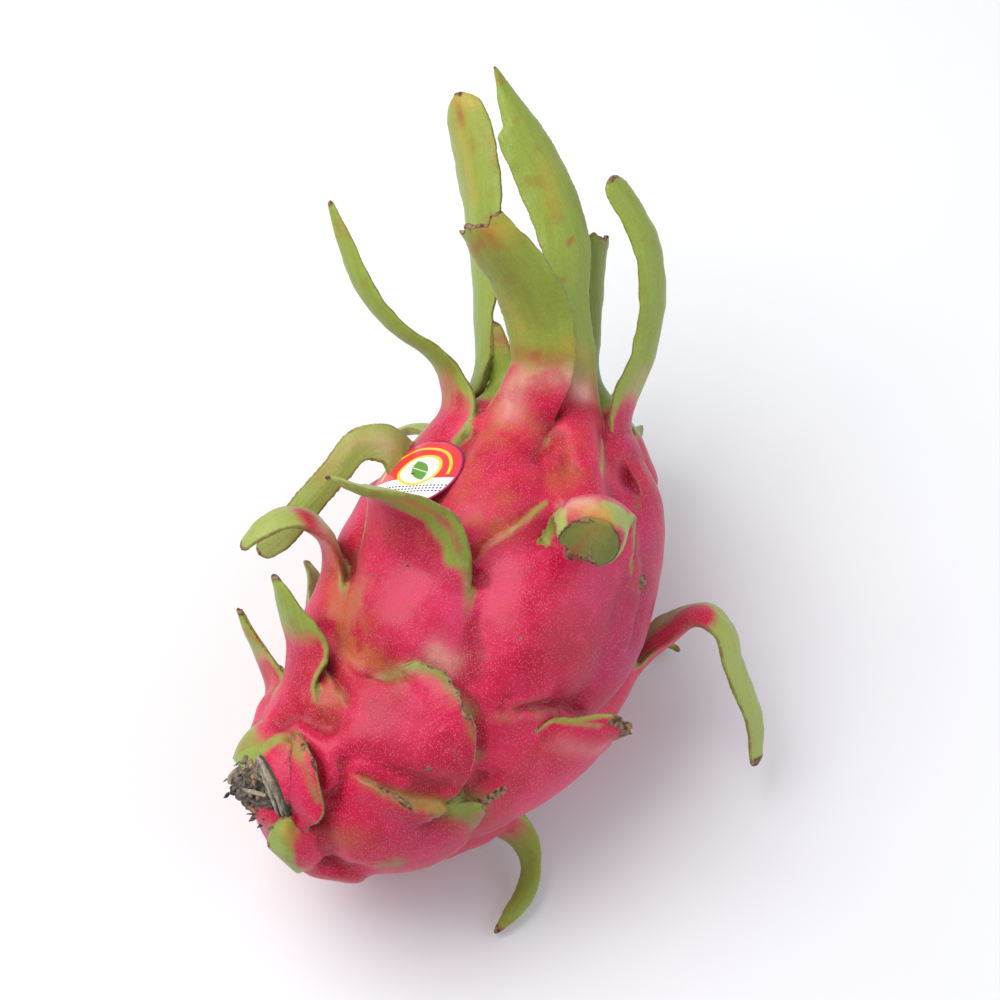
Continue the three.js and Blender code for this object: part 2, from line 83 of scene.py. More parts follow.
SCALES = [
    # the crown, from the top towards -Y, under the fruit and back
    dict(green=0.14, dry=1, edge=(1.0, 0.8), notch=(1, 17, 2.6), foot=[92, 34], peel=[128, 25],
         width=34, turn=-10, blade=[[137, 31, 22, 18], [150, 35, 17, 14], [163, 37, 14, 13], [179, 39,
         12, 17], [195, 41, 4, 18], [209, 44, -5.5, 15], [219, 46, -11.5, 8], [225, 48, -13.5, 2]]),
    dict(green=0.2, dry=2, foot=[62, 82], peel=[120, 70], width=38, mouth=0.5, turn=-35, blade=[[136,
         30, 55, 17], [153, 37, 53.5, 14], [168, 42.5, 48.5, 13], [179, 44.5, 42.5, 12], [196, 45, 26,
         9]]),
    dict(green=-0.1, dry=1, ragged=2, foot=[122, 56], peel=[140, 53], width=22, turn=-15, cut=1.5,
         blade=[[149, 21, 46, 13], [160, 23.5, 40, 13], [176, 26.5, 37, 14], [186, 29.5, 35, 13]]),
    dict(green=0.25, foot=[96, 142], peel=[126, 142], width=38, blade=[[136, 35, 142, 17], [143, 42,
         143, 12], [148, 50, 147, 9], [148, 57, 151, 3]]),
    dict(green=0.15, foot=[84, 188], peel=[114, 188], width=44, blade=[[124, 40, 188, 20], [137, 37,
         187, 14], [150, 36, 185, 9], [160, 37, 183, 2]]),
    dict(green=0.3, foot=[96, 228], peel=[126, 230], width=38, blade=[[136, 34, 230, 16], [143, 40, 231,
         11], [144, 48, 233, 7], [140, 54, 235, 2]]),
    dict(green=-0.3, dry=1.2, ragged=1.5, gold=0.35, foot=[112, 270], peel=[136, 280], width=28,
         turn=60, blade=[[148, 22, 301, 18], [167, 23, 311, 20], [190, 26, 318, 22], [210, 30, 320.5,
         20], [227, 33, 319, 13]]),
    dict(green=0, foot=[124, -34], peel=[138, -32], width=16, blade=[[146, 22, -30, 9], [154, 24, -29,
         8], [162, 26, -30, 5]]),
    dict(green=0.22, foot=[84, -52], peel=[124, -51], width=38, turn=40, blade=[[136, 33, -46, 21],
         [144, 36, -45, 15], [150, 42, -45, 11], [155, 51, -48, 9], [165, 61, -50, 9], [176, 67, -50,
         7], [188, 72, -50, 2]]),
    dict(green=0.2, dry=1.0, ragged=3, edge=(0.8, 0.8), gold=0.3, foot=[76, -6], peel=[128, -8],
         width=44, mouth=0.5, cut=1.5, blade=[[144, 40, -1, 20], [154, 46, -3, 22], [162, 54, -7, 21],
         [169, 61.5, -12, 19], [175, 67, -15, 16]]),
    # short ones round the navel, behind
    dict(green=0, foot=[122, 94], peel=[138, 94], width=22, blade=[[146, 23, 96, 11], [152, 26, 97,
         4]]),
    dict(green=0, foot=[122, 138], peel=[140, 140], width=22, blade=[[148, 20, 142, 12], [160, 19, 141,
         9], [171, 20, 140, 3]]),
    dict(green=-0.1, foot=[120, 178], peel=[140, 180], width=24, blade=[[149, 19, 180, 13], [160, 18,
         182, 11], [172, 18, 184, 8], [181, 20, 186, 2]]),
    dict(green=0, foot=[122, 226], peel=[140, 226], width=22, blade=[[148, 20, 226, 13], [160, 19, 228,
         10], [169, 20, 230, 4]]),
    # the shoulder under the crown
    dict(green=0.5, dry=2, edge=(0.8, 2.4), foot=[38, -16], peel=[70, -20], width=46, mouth=0.85,
         blade=[[79, 52, -21, 32], [79, 61, -21, 20], [73, 70, -22, 9], [68, 79, -26, 2]]),
    dict(green=1.1, inner=0.9, dry=0.01, edge=(2.2, 1.0), foot=[56, 38], peel=[96, 36], width=50,
         mouth=0.62, turn=-70, cut=9, arcs=[20, -12, -25, -12, 6, 10, 10], blade=[[101, 47, 31, 24],
         [102.8, 50.8, 28, 21], [101, 53.4, 27, 19.5], [97.4, 55, 27.6, 18.5], [94.2, 54.2, 28.6, 17],
         [92.3, 53.2, 29.3, 14], [90.6, 52.4, 29.9, 8]]),
    dict(green=0.16, dry=5, foot=[62, 118], peel=[90, 114], width=40, blade=[[98, 49, 104, 22], [102,
         54, 99, 14], [101, 59, 98, 10], [96, 65, 100, 9], [90, 77, 107, 8], [85, 84, 112, 6]]),
    dict(green=0.3, foot=[60, 154], peel=[88, 152], width=40, blade=[[97, 47, 149, 18], [102, 53, 145,
         10], [104, 59, 139, 6], [103, 64, 133, 2]]),
    dict(green=0.3, foot=[48, 228], peel=[76, 228], width=43, blade=[[86, 48, 228, 20], [92, 54, 229,
         12], [94, 60, 226, 8], [92, 63, 222.5, 3]]),
    dict(green=0.25, dry=3, foot=[66, -74], peel=[102, -68], width=38, blade=[[112, 40, -61, 18], [116,
         45, -57, 13], [112, 52, -57, 10], [101, 54, -60, 9], [81, 56, -70, 9], [70, 57, -77, 8], [60,
         60, -83, 6]]),
    # the belly
    dict(green=1.25, dry=1.2, edge=(2.2, 0), ragged=2, foot=[14, 20], peel=[40, 26], width=48,
         mouth=0.82, cut=1.5, blade=[[45, 40, 27.5, 29], [49, 42.5, 29, 15]]),
    dict(green=1.1, dry=5, edge=(0.7, 0), ragged=5, foot=[32, 74], peel=[57, 82], width=44, mouth=0.75,
         cut=2.5, blade=[[64, 46, 78, 26], [68, 50, 76, 16], [71.5, 55, 77, 9]]),
    dict(green=0.3, dry=4, foot=[28, 114], peel=[42, 120], width=33, blade=[[48, 42, 127, 15], [49, 48,
         128, 10], [47, 54, 128, 7], [44, 57, 128, 7], [39, 59, 128, 6], [34, 61, 129, 2]]),
    dict(green=0.3, foot=[20, 154], peel=[44, 154], width=38, blade=[[53, 42, 151, 17], [59, 46, 148,
         9], [63, 49, 145, 2]]),
    dict(green=0.4, foot=[40, 190], peel=[70, 188], width=44, blade=[[81, 45, 187, 22], [90, 44, 186,
         14], [98, 44, 185, 4]]),
    dict(green=0.35, foot=[12, 228], peel=[36, 228], width=38, blade=[[44, 41, 228, 16], [50, 47, 229,
         8], [53, 52, 230, 2]]),
    dict(green=0.3, foot=[26, 258], peel=[54, 262], width=40, blade=[[62, 45, 264, 19], [68, 48, 266,
         11], [73, 52, 267, 3]]),
    dict(green=0.45, dry=3, foot=[36, -66], peel=[60, -61], width=38, blade=[[69, 49, -59, 18], [68, 56,
         -57, 13], [63, 60, -56, 10], [53, 62, -57, 8], [42, 62, -60, 4]]),
    dict(green=0.45, dry=3, foot=[6, -36], peel=[22, -38], width=30, blade=[[29, 36, -40, 22], [33, 47,
         -41, 14], [35, 53, -41, 7], [37, 57, -42, 2]]),
    dict(green=0.5, dry=3, foot=[2, -74], peel=[15, -75], width=28, blade=[[20, 29, -78, 19], [24, 38,
         -75, 13], [25, 45, -71, 7], [27, 51, -68, 2]]),
    # round the stem
    dict(green=0.95, dry=1.2, edge=(4, 0.8), ragged=1.5, foot=[4, 70], peel=[23, 76], width=36,
         mouth=0.82, blade=[[30, 34.5, 76, 25], [34.5, 36.5, 73, 15], [40.5, 39.5, 69.5, 4]]),
    dict(green=1.2, dry=0.6, edge=(0.5, 0.4), ragged=1, foot=[-3, 4], peel=[4, 8], width=28, mouth=1,
         blade=[[7.5, 24, 8, 27], [11, 27.5, 9, 23], [13, 29, 10, 16]]),
    dict(green=0.3, dry=2, foot=[0, 102], peel=[14, 106], width=26, blade=[[16.5, 25.5, 104, 13], [18.5,
         26, 101, 4]]),
    dict(green=0.3, foot=[4, 190], peel=[24, 190], width=36, blade=[[32, 34, 190, 18], [40, 37, 190,
         10], [46, 39, 190, 2]]),
    dict(green=0.35, foot=[4, 256], peel=[20, 256], width=28, blade=[[27, 33, 256, 13], [32, 38, 257,
         6], [34, 41, 258, 2]]),
    dict(green=0.2, dry=1.0, edge=(1, 1), ragged=2, foot=[18, 72], peel=[5, 70], width=30, blade=[[0,
         16.5, 68, 23], [-1.8, 12.5, 68, 18], [-3.2, 9, 70, 11]]),
    dict(green=0.25, dry=0.8, ragged=2, foot=[20, -34], peel=[10, -34], width=26, blade=[[5, 22.5, -36,
         21], [1, 20.5, -46, 16], [-1.5, 17, -58, 8]]),
]

# ---------------------------------------------------------------- how the fruit grows
AXIS_STEPS = 300


def smooth_through(knots, rows, at):
    """Smooth curve through rows of numbers at rising knots, read at many places."""
    knots, rows, at = (np.asarray(v, float) for v in (knots, rows, at))
    gap = np.diff(knots)
    slope = np.diff(rows, axis=0) / gap[:, None]
    tangent = np.empty_like(rows)
    tangent[0], tangent[-1] = slope[0], slope[-1]
    share = (gap[:-1] / (gap[:-1] + gap[1:]))[:, None]
    tangent[1:-1] = slope[1:] * share + slope[:-1] * (1 - share)
    i = np.clip(np.searchsorted(knots, at, side="right") - 1, 0, len(gap) - 1)
    h = gap[i][:, None]
    x = (at - knots[i])[:, None] / h
    return ((2 * x**3 - 3 * x**2 + 1) * rows[i] + (x**3 - 2 * x**2 + x) * h * tangent[i]
            + (3 * x**2 - 2 * x**3) * rows[i + 1] + (x**3 - x**2) * h * tangent[i + 1])


def unit(vectors):
    return vectors / np.linalg.norm(vectors, axis=-1, keepdims=True)


def heading_at(along):
    share = np.clip(np.asarray(along, float) / AXIS_LENGTH, 0, 1)
    turn = np.radians(AXIS_TURN[0] + share * (AXIS_TURN[1] - AXIS_TURN[0]))
    rise = np.radians(AXIS_RISE[0] + share * (AXIS_RISE[1] - AXIS_RISE[0]))
    return np.stack([np.cos(turn) * np.cos(rise), np.sin(turn) * np.cos(rise), np.sin(rise)], -1)


def lay_axis():
    """Points on the axis, one each AXIS_LENGTH / AXIS_STEPS, with the middle one at AXIS_MIDDLE."""
    step = AXIS_LENGTH / AXIS_STEPS
    strides = heading_at((np.arange(AXIS_STEPS) + 0.5) * step) * step
    points = np.concatenate([np.zeros((1, 3)), np.cumsum(strides, axis=0)])
    return points - points[AXIS_STEPS // 2] + AXIS_MIDDLE


AXIS_POINTS = lay_axis()
AXIS_ALONG = np.linspace(0, AXIS_LENGTH, AXIS_STEPS + 1)


def axis_at(along):
    """The axis at many places: points, headings, and directions to the top and to the -Y side."""
    along = np.asarray(along, float)
    inside = np.clip(along, 0, AXIS_LENGTH)
    point = np.stack([np.interp(inside, AXIS_ALONG, AXIS_POINTS[:, c]) for c in range(3)], -1)
    heading = heading_at(inside)
    point = point + heading * (along - inside)[..., None]
    top = unit(np.array((0, 0, 1.0)) - heading * heading[..., 2:3])
    return point, heading, top, np.cross(heading, top)


def outward(along, turn):
    _, _, top, side = axis_at(along)
    angle = np.radians(np.asarray(turn, float))[..., None]
    return top * np.cos(angle) + side * np.sin(angle)


def place_at(along, out, turn):
    return axis_at(along)[0] + outward(along, turn) * np.asarray(out, float)[..., None]


def girth_at(along):
    rows = np.array(GIRTH)
    inside = np.clip(np.atleast_1d(along), rows[0, 0], rows[-1, 0])
    return smooth_through(rows[:, 0], rows, inside)[:, 1]


# ---------------------------------------------------------------- lofted skins
class Skins:
    """Closed skins gathered into one mesh, with what each point needs to know of its growth."""

    def __init__(self):
        self.points, self.quads, self.tone, self.growth, self.fibre = [], [], [], [], []
        self.count = 0

    def add(self, rings, tone=(0, 0, 0), growth=(-1, 1, 0), fibre=None):
        """A closed skin through rings[ring, point, xyz], capped by strips at both ends."""
        rows, sides, _ = rings.shape
        index = np.arange(rows * sides).reshape(rows, sides) + self.count
        across = np.roll(index, -1, axis=1)
        wall = np.stack([index[:-1], index[1:], across[1:], across[:-1]], -1).reshape(-1, 4)
        j = np.arange(sides // 2 - 1)
        k = sides - 1 - j
        caps = [np.stack([row[j], row[j + 1], row[k - 1], row[k]], -1) for row in index[[0, -1]]]
        self.quads += [wall, caps[0], caps[1][:, ::-1]]
        self.points.append(rings.reshape(-1, 3))
        for store, value in ((self.tone, tone), (self.growth, growth),
                             (self.fibre, rings if fibre is None else fibre)):
            store.append(np.broadcast_to(value, rings.shape).reshape(-1, 3))
        self.count += rows * sides

    def mesh(self, name):
        mesh = bpy.data.meshes.new(name)
        points, quads = np.concatenate(self.points) * MM, np.concatenate(self.quads)
        mesh.vertices.add(len(points))
        mesh.vertices.foreach_set("co", points.astype(np.float32).ravel())
        mesh.loops.add(quads.size)
        mesh.loops.foreach_set("vertex_index", quads.astype(np.int32).ravel())
        mesh.polygons.add(len(quads))
        mesh.polygons.foreach_set("loop_start", np.arange(0, quads.size, 4, dtype=np.int32))
        for key in ("tone", "growth", "fibre"):
            values = np.concatenate(getattr(self, key)).astype(np.float32)
            layer = mesh.attributes.new(key, "FLOAT_VECTOR", "POINT")
            layer.data.foreach_set("vector", values.ravel())
        mesh.update(calc_edges=True)
        return mesh


def turned_rings(origin, direction, rows, sides, unevenness=0.0):
    """Rings round a straight line from rows (distance along it, radius), with an uneven rim."""
    u = unit(np.cross(direction, (0, 0, 1.0)))
    v = np.cross(direction, u)
    turn = np.linspace(0, 2 * np.pi, sides, endpoint=False)
    rings = []
    for r, (distance, radius) in enumerate(rows):
        wobble = 1 + unevenness * (np.sin(3 * turn + r) + np.sin(5 * turn + 2 * r))
        rim = np.cos(turn)[:, None] * u + np.sin(turn)[:, None] * v
        rings.append(origin + distance * direction + rim * (radius * wobble)[:, None])
    return np.array(rings)


# How a pad grows: share of its length, height over the girth, share of its width, thickness, arc.
PAD_ROWS = [
    (0, -FLESH_BELOW_PADS - 0.5, 0.45, PAD_THICKNESS - 2, 55),
    (0.35, PAD_BULGE * 0.75, 0.95, PAD_THICKNESS, 58),
    (0.7, PAD_BULGE, 0.96, PAD_THICKNESS, 54),
    (1, PAD_BULGE * 1.6, MOUTH, PAD_THICKNESS - 3, 42),
]


def midrib_rows(scale):
    """Rows (x, y, z, width, arc, thickness) that a scale's midrib passes, from foot to tip."""
    rows = []
    for share, height, wide, thick, arc in PAD_ROWS:
        along, turn = (a + (b - a) * share for a, b in zip(scale["foot"], scale["peel"]))
        point = place_at(along, girth_at(along)[0] + height, turn)
        wide = wide if share < 1 else scale.get("mouth", MOUTH)
        rows.append([*point, scale["width"] * wide, arc, thick])
    blade = scale["blade"]
    end = scale.get("cut", BLADE_TIP_THICKNESS)
    arcs = scale.get("arcs", [BLADE_ARC] * len(blade))
    for i, (along, out, turn, wide) in enumerate(blade):
        thick = BLADE_BASE_THICKNESS + (end - BLADE_BASE_THICKNESS) * i / (len(blade) - 1)
        rows.append([*place_at(along, out, turn), wide, arcs[i], thick])
    return np.array(rows)


MARGIN_RIPPLE = 0.2
SLICED_SCALE = 15  # the thick curled one whose end was cut off
SLICE_PLACE = (91.6, 54.0, 29.3)
SLICE_FACING = (-0.7, -0.45, 0.55)


def grow_scale(scale, number, skins, pads):
    """One scale: crescent sections along its midrib, thick in the pad and thin at the margins."""
    rows = midrib_rows(scale)
    strides = np.linalg.norm(np.diff(rows[:, :3], axis=0), axis=1)
    knots = np.concatenate([[0], np.cumsum(strides)])
    length = knots[-1]
    peel = knots[len(PAD_ROWS) - 1]
    tip = 0 if scale.get("cut") else rows[-1, 3] / 2
    s = np.arange(0, length - tip, SECTION_STEP)
    round_off = np.sin(np.linspace(0, np.pi / 2, 7)) if tip else np.ones(1)
    s = np.concatenate([s, length - tip + tip * round_off])
    here = smooth_through(knots, rows, s)
    reach = 0.5
    heading = unit(smooth_through(knots, rows, np.minimum(s + reach, length))[:, :3]
                   - smooth_through(knots, rows, np.maximum(s - reach, 0))[:, :3])
    normal = outward(*scale["foot"])
    face = np.empty_like(heading)
    for i, h in enumerate(heading):
        normal = unit(normal - h * normal.dot(h))
        face[i] = normal
    across = np.cross(face, heading)
    free = np.clip((s - peel) / (length - peel), 0, 1)
    turned = (np.radians(scale.get("turn", 0)) * free)[:, None]
    sin, cos = np.sin(turned), np.cos(turned)
    face, across = face * cos - across * sin, across * cos + face * sin

    rounding = np.maximum(0, 1 - (length - s) / tip) if tip else np.zeros_like(s)
    half = (here[:, 3] / 2 * np.sqrt(np.maximum(0.06, 1 - rounding**2)))[:, None]
    bend, thickness = np.radians(here[:, 4:5]), here[:, 5:6]
    share = np.sin(np.pi * (np.linspace(0, 1, SECTION_POINTS) - 0.5))[None]
    sin, cos = np.sin(bend * share), np.cos(bend * share)
    body = np.maximum(thickness - MARGIN_THICKNESS, 0) * (1 - np.abs(share) ** 2.2)
    deep = np.minimum(MARGIN_THICKNESS + body, np.maximum(half * 1.4, MARGIN_THICKNESS))
    x, y = half * sin / bend, -half * (1 - cos) / bend

    def at(dx, dy):
        return (here[:, None, :3] + across[:, None] * dx[..., None] + face[:, None] * dy[..., None])

    grown = np.where(s < peel, s / peel - 1, (s - peel) / (length - peel))[:, None]
    rim = np.abs(share)
    if "notch" in scale:
        side, reach_back, depth = scale["notch"]
        torn = np.clip(s - (length - reach_back), 0, 1)[:, None] * np.clip(share * side * 2, 0, 1)
        x = x - torn * np.minimum(depth, half * 0.7) * side * rim
    phase = number * 1.7
    ripple = np.sin(s[:, None] / 2.3 + phase + share) + 0.7 * np.sin(s[:, None] / 1.1 + 2 * phase)
    y = y + MARGIN_RIPPLE * ripple * rim ** 4 * np.clip(grown / 0.2, 0, 1) * np.minimum(1, half / 6)
    outer, inner = at(x, y), at(x - sin * deep, y - cos * deep)
    if scale.get("ragged"):
        tear = 0.5 + 0.28 * np.sin(5.3 * share + phase) + 0.16 * np.sin(12 * share + 2 * phase) \
            + 0.06 * np.sin(27 * share + phase)
        late = np.clip(1 - (length - s) / (3 * scale["ragged"]), 0, 1)[:, None]
        back = (late * tear * scale["ragged"])[..., None] * heading[:, None]
        outer, inner = outer - back, inner - back
    rings = np.concatenate([outer, inner[:, ::-1]], axis=1)
    sliced = np.zeros(rings.shape[:2])
    if number == SLICED_SCALE:
        point, normal = place_at(*SLICE_PLACE), unit(np.array(SLICE_FACING))
        beyond = np.where((s > peel)[:, None], ((rings - point) * normal).sum(-1), -1)
        sliced = np.clip(beyond / 0.7, 0, 1)
        rings = rings - np.maximum(beyond, 0)[..., None] * normal

    start = scale.get("green", 0.3)
    green = np.clip((grown - start) / 0.3 + 0.5, 0, 1)
    high, low = scale.get("edge", (1.2, 1.2))
    from_margin = half * (1 - rim)
    wide = np.where(share > 0, high, low)
    edge = np.clip(1.5 - from_margin / np.maximum(wide, 0.01), 0, 1) * np.clip((grown + 0.2) / 0.3, 0, 1)
    lined = np.where(wide > 0, rim, 0)
    dry = np.clip(1 - (length - s[:, None]) / max(scale.get("dry", 2.5), 0.01), 0, 1) * np.ones_like(rim)
    ones = np.ones_like(grown * rim)

    def both(outside, inside):
        return np.concatenate([outside * ones, (inside * ones)[:, ::-1]], axis=1)

    green_in = np.clip((grown - scale.get("inner", 0.05)) / 0.3 + 0.5, 0, 1)
    gold = scale.get("gold", 0) * np.clip((grown - 0.45) / 0.4, 0, 1)
    tone = np.stack([both(np.maximum(green, edge), np.maximum(green_in, edge)), both(dry, dry),
                     both(-gold, 1)], -1)
    growth = np.stack([both(grown, grown), both(lined, lined), sliced], -1)
    fibre = np.stack([both(x, x), both(s[:, None], s[:, None]), both(number * 37.0, number * 37.0)], -1)
    skins.add(rings, tone, growth, fibre)
    on_body = s <= peel
    pads.add(rings[on_body], tone[on_body], growth[on_body], fibre[on_body])


def flesh_rings(sides=160, step=1.5):
    along = np.arange(0, AXIS_LENGTH + step, step)
    turn = -np.arange(sides) * 360 / sides
    grid_along, grid_turn = np.meshgrid(along, turn, indexing="ij")
    out = np.repeat((girth_at(along) - FLESH_BELOW_PADS)[:, None], sides, axis=1)
    return place_at(grid_along, out, grid_turn)


STEM_AXIS = heading_at(0)
STEM_FOOT = place_at(*STEM_PLACE)
CROWN_AXIS = heading_at(AXIS_LENGTH)
NAVEL_FLOOR = place_at(AXIS_LENGTH - NAVEL_DEPTH, 0, 0)


def grow_peel():
    """The skin of the flesh, the collar round the stem, and every scale, as two sets of skins."""
    skins, pads = Skins(), Skins()
    collar_rows = [(20, 14), (12, 15.5), (6, 14.5), (2.5, 13.4), (0.5, 12.6)]
    collar = turned_rings(STEM_FOOT, STEM_AXIS, collar_rows, 60)
    for store in (skins, pads):
        store.add(flesh_rings())
        store.add(collar)
    for number, scale in enumerate(SCALES):
        grow_scale(scale, number, skins, pads)
    return skins.mesh("scales"), pads.mesh("pads")


# ---------------------------------------------------------------- node trees
def node_in(tree, kind, settings=None, **values):
    """A node with its settings made and its inputs given a value or joined to another's output."""
    node = tree.nodes.new(kind)
    for key, value in (settings or {}).items():
        setattr(node, key, value)
    for key, value in values.items():
        socket = node.inputs[int(key[1:])] if key[0] == "_" else node.inputs[key.replace("_", " ")]
        if isinstance(value, bpy.types.NodeSocket):
            tree.links.new(value, socket)
        else:
            socket.default_value = value
    return node


def geometry_tree(name, inputs):
    """An empty Geometry Nodes tree with a geometry in and out and named inputs for its sizes."""
    tree = bpy.data.node_groups.new(name, "GeometryNodeTree")
    tree.interface.new_socket(name="Geometry", in_out="INPUT", socket_type="NodeSocketGeometry")
    tree.interface.new_socket(name="Geometry", in_out="OUTPUT", socket_type="NodeSocketGeometry")
    sockets = {}
    for label, kind in inputs.items():
        socket = tree.interface.new_socket(name=label, in_out="INPUT", socket_type="NodeSocket" + kind)
        sockets[label] = socket.identifier
    given = tree.nodes.new("NodeGroupInput").outputs
    return tree, sockets, given


def finish_tree(tree, geometry, material):
    """Ends a tree: copies made real, the finish set, and the result sent out."""
    real = node_in(tree, "GeometryNodeRealizeInstances", Geometry=geometry)
    painted = node_in(tree, "GeometryNodeSetMaterial", Geometry=real.outputs[0])
    painted.inputs["Material"].default_value = material
    out = tree.nodes.new("NodeGroupOutput")
    tree.links.new(painted.outputs[0], out.inputs[0])


def grown(name, base, tree, sockets, values):
    """A plain mesh object made by running a tree on a base mesh."""
    holder = bpy.data.objects.new(name + "_base", base)
    bpy.context.scene.collection.objects.link(holder)
    modifier = holder.modifiers.new("grow", "NODES")
    modifier.node_group = tree
    for label, value in values.items():
        modifier[sockets[label]] = value
    graph = bpy.context.evaluated_depsgraph_get()
    mesh = bpy.data.meshes.new_from_object(holder.evaluated_get(graph), preserve_all_data_layers=True, depsgraph=graph)
    holder.modifiers.remove(modifier)
    bpy.data.objects.remove(holder)
    mesh.name = name
    return mesh


def fusing_tree(material):
    """Pads grown together with soft valleys between them, then the scales fused to them."""
    tree, sockets, given = geometry_tree("fuse the peel", {
        "Pads": "Object", "Navel": "Object", "Coarse grain": "Float", "Fine grain": "Float",
        "Valley": "Float"})

    def grid(mesh, grain, band):
        return node_in(tree, "GeometryNodeMeshToSDFGrid", Mesh=mesh, Voxel_Size=grain, Band_Width=band).outputs[0]

    def skin(field, height):
        return node_in(tree, "GeometryNodeGridToMesh", Grid=field, Threshold=height, Adaptivity=0.0).outputs[0]

    valley, coarse, fine = given["Valley"], given["Coarse grain"], given["Fine grain"]
    sunk = node_in(tree, "ShaderNodeMath", {"operation": "MULTIPLY"}, _0=valley, _1=-1.0).outputs[0]
    pads = node_in(tree, "GeometryNodeObjectInfo", Object=given["Pads"]).outputs["Geometry"]
    swollen = skin(grid(pads, coarse, 12), valley)
    closed = skin(grid(swollen, coarse, 12), sunk)
    joined = node_in(tree, "GeometryNodeJoinGeometry")
    tree.links.new(given["Geometry"], joined.inputs[0])
    tree.links.new(closed, joined.inputs[0])
    navel = node_in(tree, "GeometryNodeObjectInfo", Object=given["Navel"]).outputs["Geometry"]
    hollowed = node_in(tree, "GeometryNodeSDFGridBoolean", {"operation": "DIFFERENCE"},
                       _0=grid(joined.outputs[0], fine, 3))
    tree.links.new(grid(navel, fine, 3), hollowed.inputs[1])
    peel = skin(hollowed.outputs[0], 0.0)
    place = node_in(tree, "GeometryNodeInputPosition").outputs[0]
    for key in ("tone", "growth", "fibre"):
        read = node_in(tree, "GeometryNodeInputNamedAttribute", {"data_type": "FLOAT_VECTOR"}, Name=key)
        near = node_in(tree, "GeometryNodeSampleNearestSurface", {"data_type": "FLOAT_VECTOR"},
                       Mesh=given["Geometry"], Value=read.outputs[0], Sample_Position=place)
        store = node_in(tree, "GeometryNodeStoreNamedAttribute", {"data_type": "FLOAT_VECTOR"},
                        Geometry=peel, Name=key, Value=near.outputs[0])
        peel = store.outputs[0]
    finish_tree(tree, peel, material)
    return tree, sockets

def places_of(points):
    """The (along, out, turn) of many points in space."""
    step = AXIS_LENGTH / AXIS_STEPS
    along = np.empty(len(points))
    for first in range(0, len(points), 20000):
        part = slice(first, first + 20000)
        gaps = ((points[part, None] - AXIS_POINTS[None, ::6]) ** 2).sum(-1)
        along[part] = gaps.argmin(1) * 6 * step
    for _ in range(4):
        point, heading, top, side = axis_at(along)
        along = along + ((points - point) * heading).sum(-1) * 0.8
    point, heading, top, side = axis_at(along)
    off = points - point
    x, y = (off * top).sum(-1), (off * side).sum(-1)
    return along, np.hypot(x, y), np.degrees(np.arctan2(y, x))


# ---------------------------------------------------------------- the main view
def view_frame(azimuth, elevation):
    """Right, up and back directions of a camera turned so many degrees round and raised so many."""
    a, e = math.radians(azimuth), math.radians(elevation)
    right = Vector((math.cos(a), math.sin(a), 0))
    back = Vector((math.sin(a) * math.cos(e), -math.cos(a) * math.cos(e), math.sin(e)))
    return right, back.cross(right), back


VIEW_RIGHT, VIEW_UP, VIEW_BACK = view_frame(*CAMERA_TURN)
VIEW_AIM = Vector(AXIS_MIDDLE) + VIEW_RIGHT * CAMERA_AIM[0] + VIEW_UP * CAMERA_AIM[1]
VIEW_EYE = VIEW_AIM + VIEW_BACK * CAMERA_DISTANCE
NEAREST_SKIN, FARTHEST_SKIN = CAMERA_DISTANCE - 140, CAMERA_DISTANCE + 140
SIGHT_STEP = 1.0


def sight_line(x, y):
    """Direction from the eye to a place of the main view: right and down, in thousandths of its width."""
    right, down = (np.array((x, y)) / 1000 - 0.5) * VIEW_WIDTH
    return (VIEW_AIM + VIEW_RIGHT * right - VIEW_UP * down - VIEW_EYE).normalized()


def seen_on_body(places, over):
    """(along, turn) where places of the main view lie on a skin so far over the plain girth."""
    reach = np.arange(NEAREST_SKIN, FARTHEST_SKIN, SIGHT_STEP)
    found = []
    for place in places:
        along, out, turn = places_of(np.array(VIEW_EYE) + reach[:, None] * np.array(sight_line(*place)))
        left = out - girth_at(along) - over
        left[(along <= 0) | (along >= AXIS_LENGTH)] = np.inf
        if left.min() < 0:
            k = int(np.argmax(left < 0))
            share = left[k] / (left[k] - left[k - 1]) if np.isfinite(left[k - 1]) else 0
            found.append((along[k] + share * (along[k - 1] - along[k]), turn[k] + share * (turn[k - 1] - turn[k])))
    return found


def seen_on_mesh(tree, places):
    """Where places of the main view lie on a mesh, in millimetres, leaving out those that miss it."""
    hits = [tree.ray_cast(VIEW_EYE * MM, sight_line(*place))[0] for place in places]
    return [np.array(hit) / MM for hit in hits if hit]


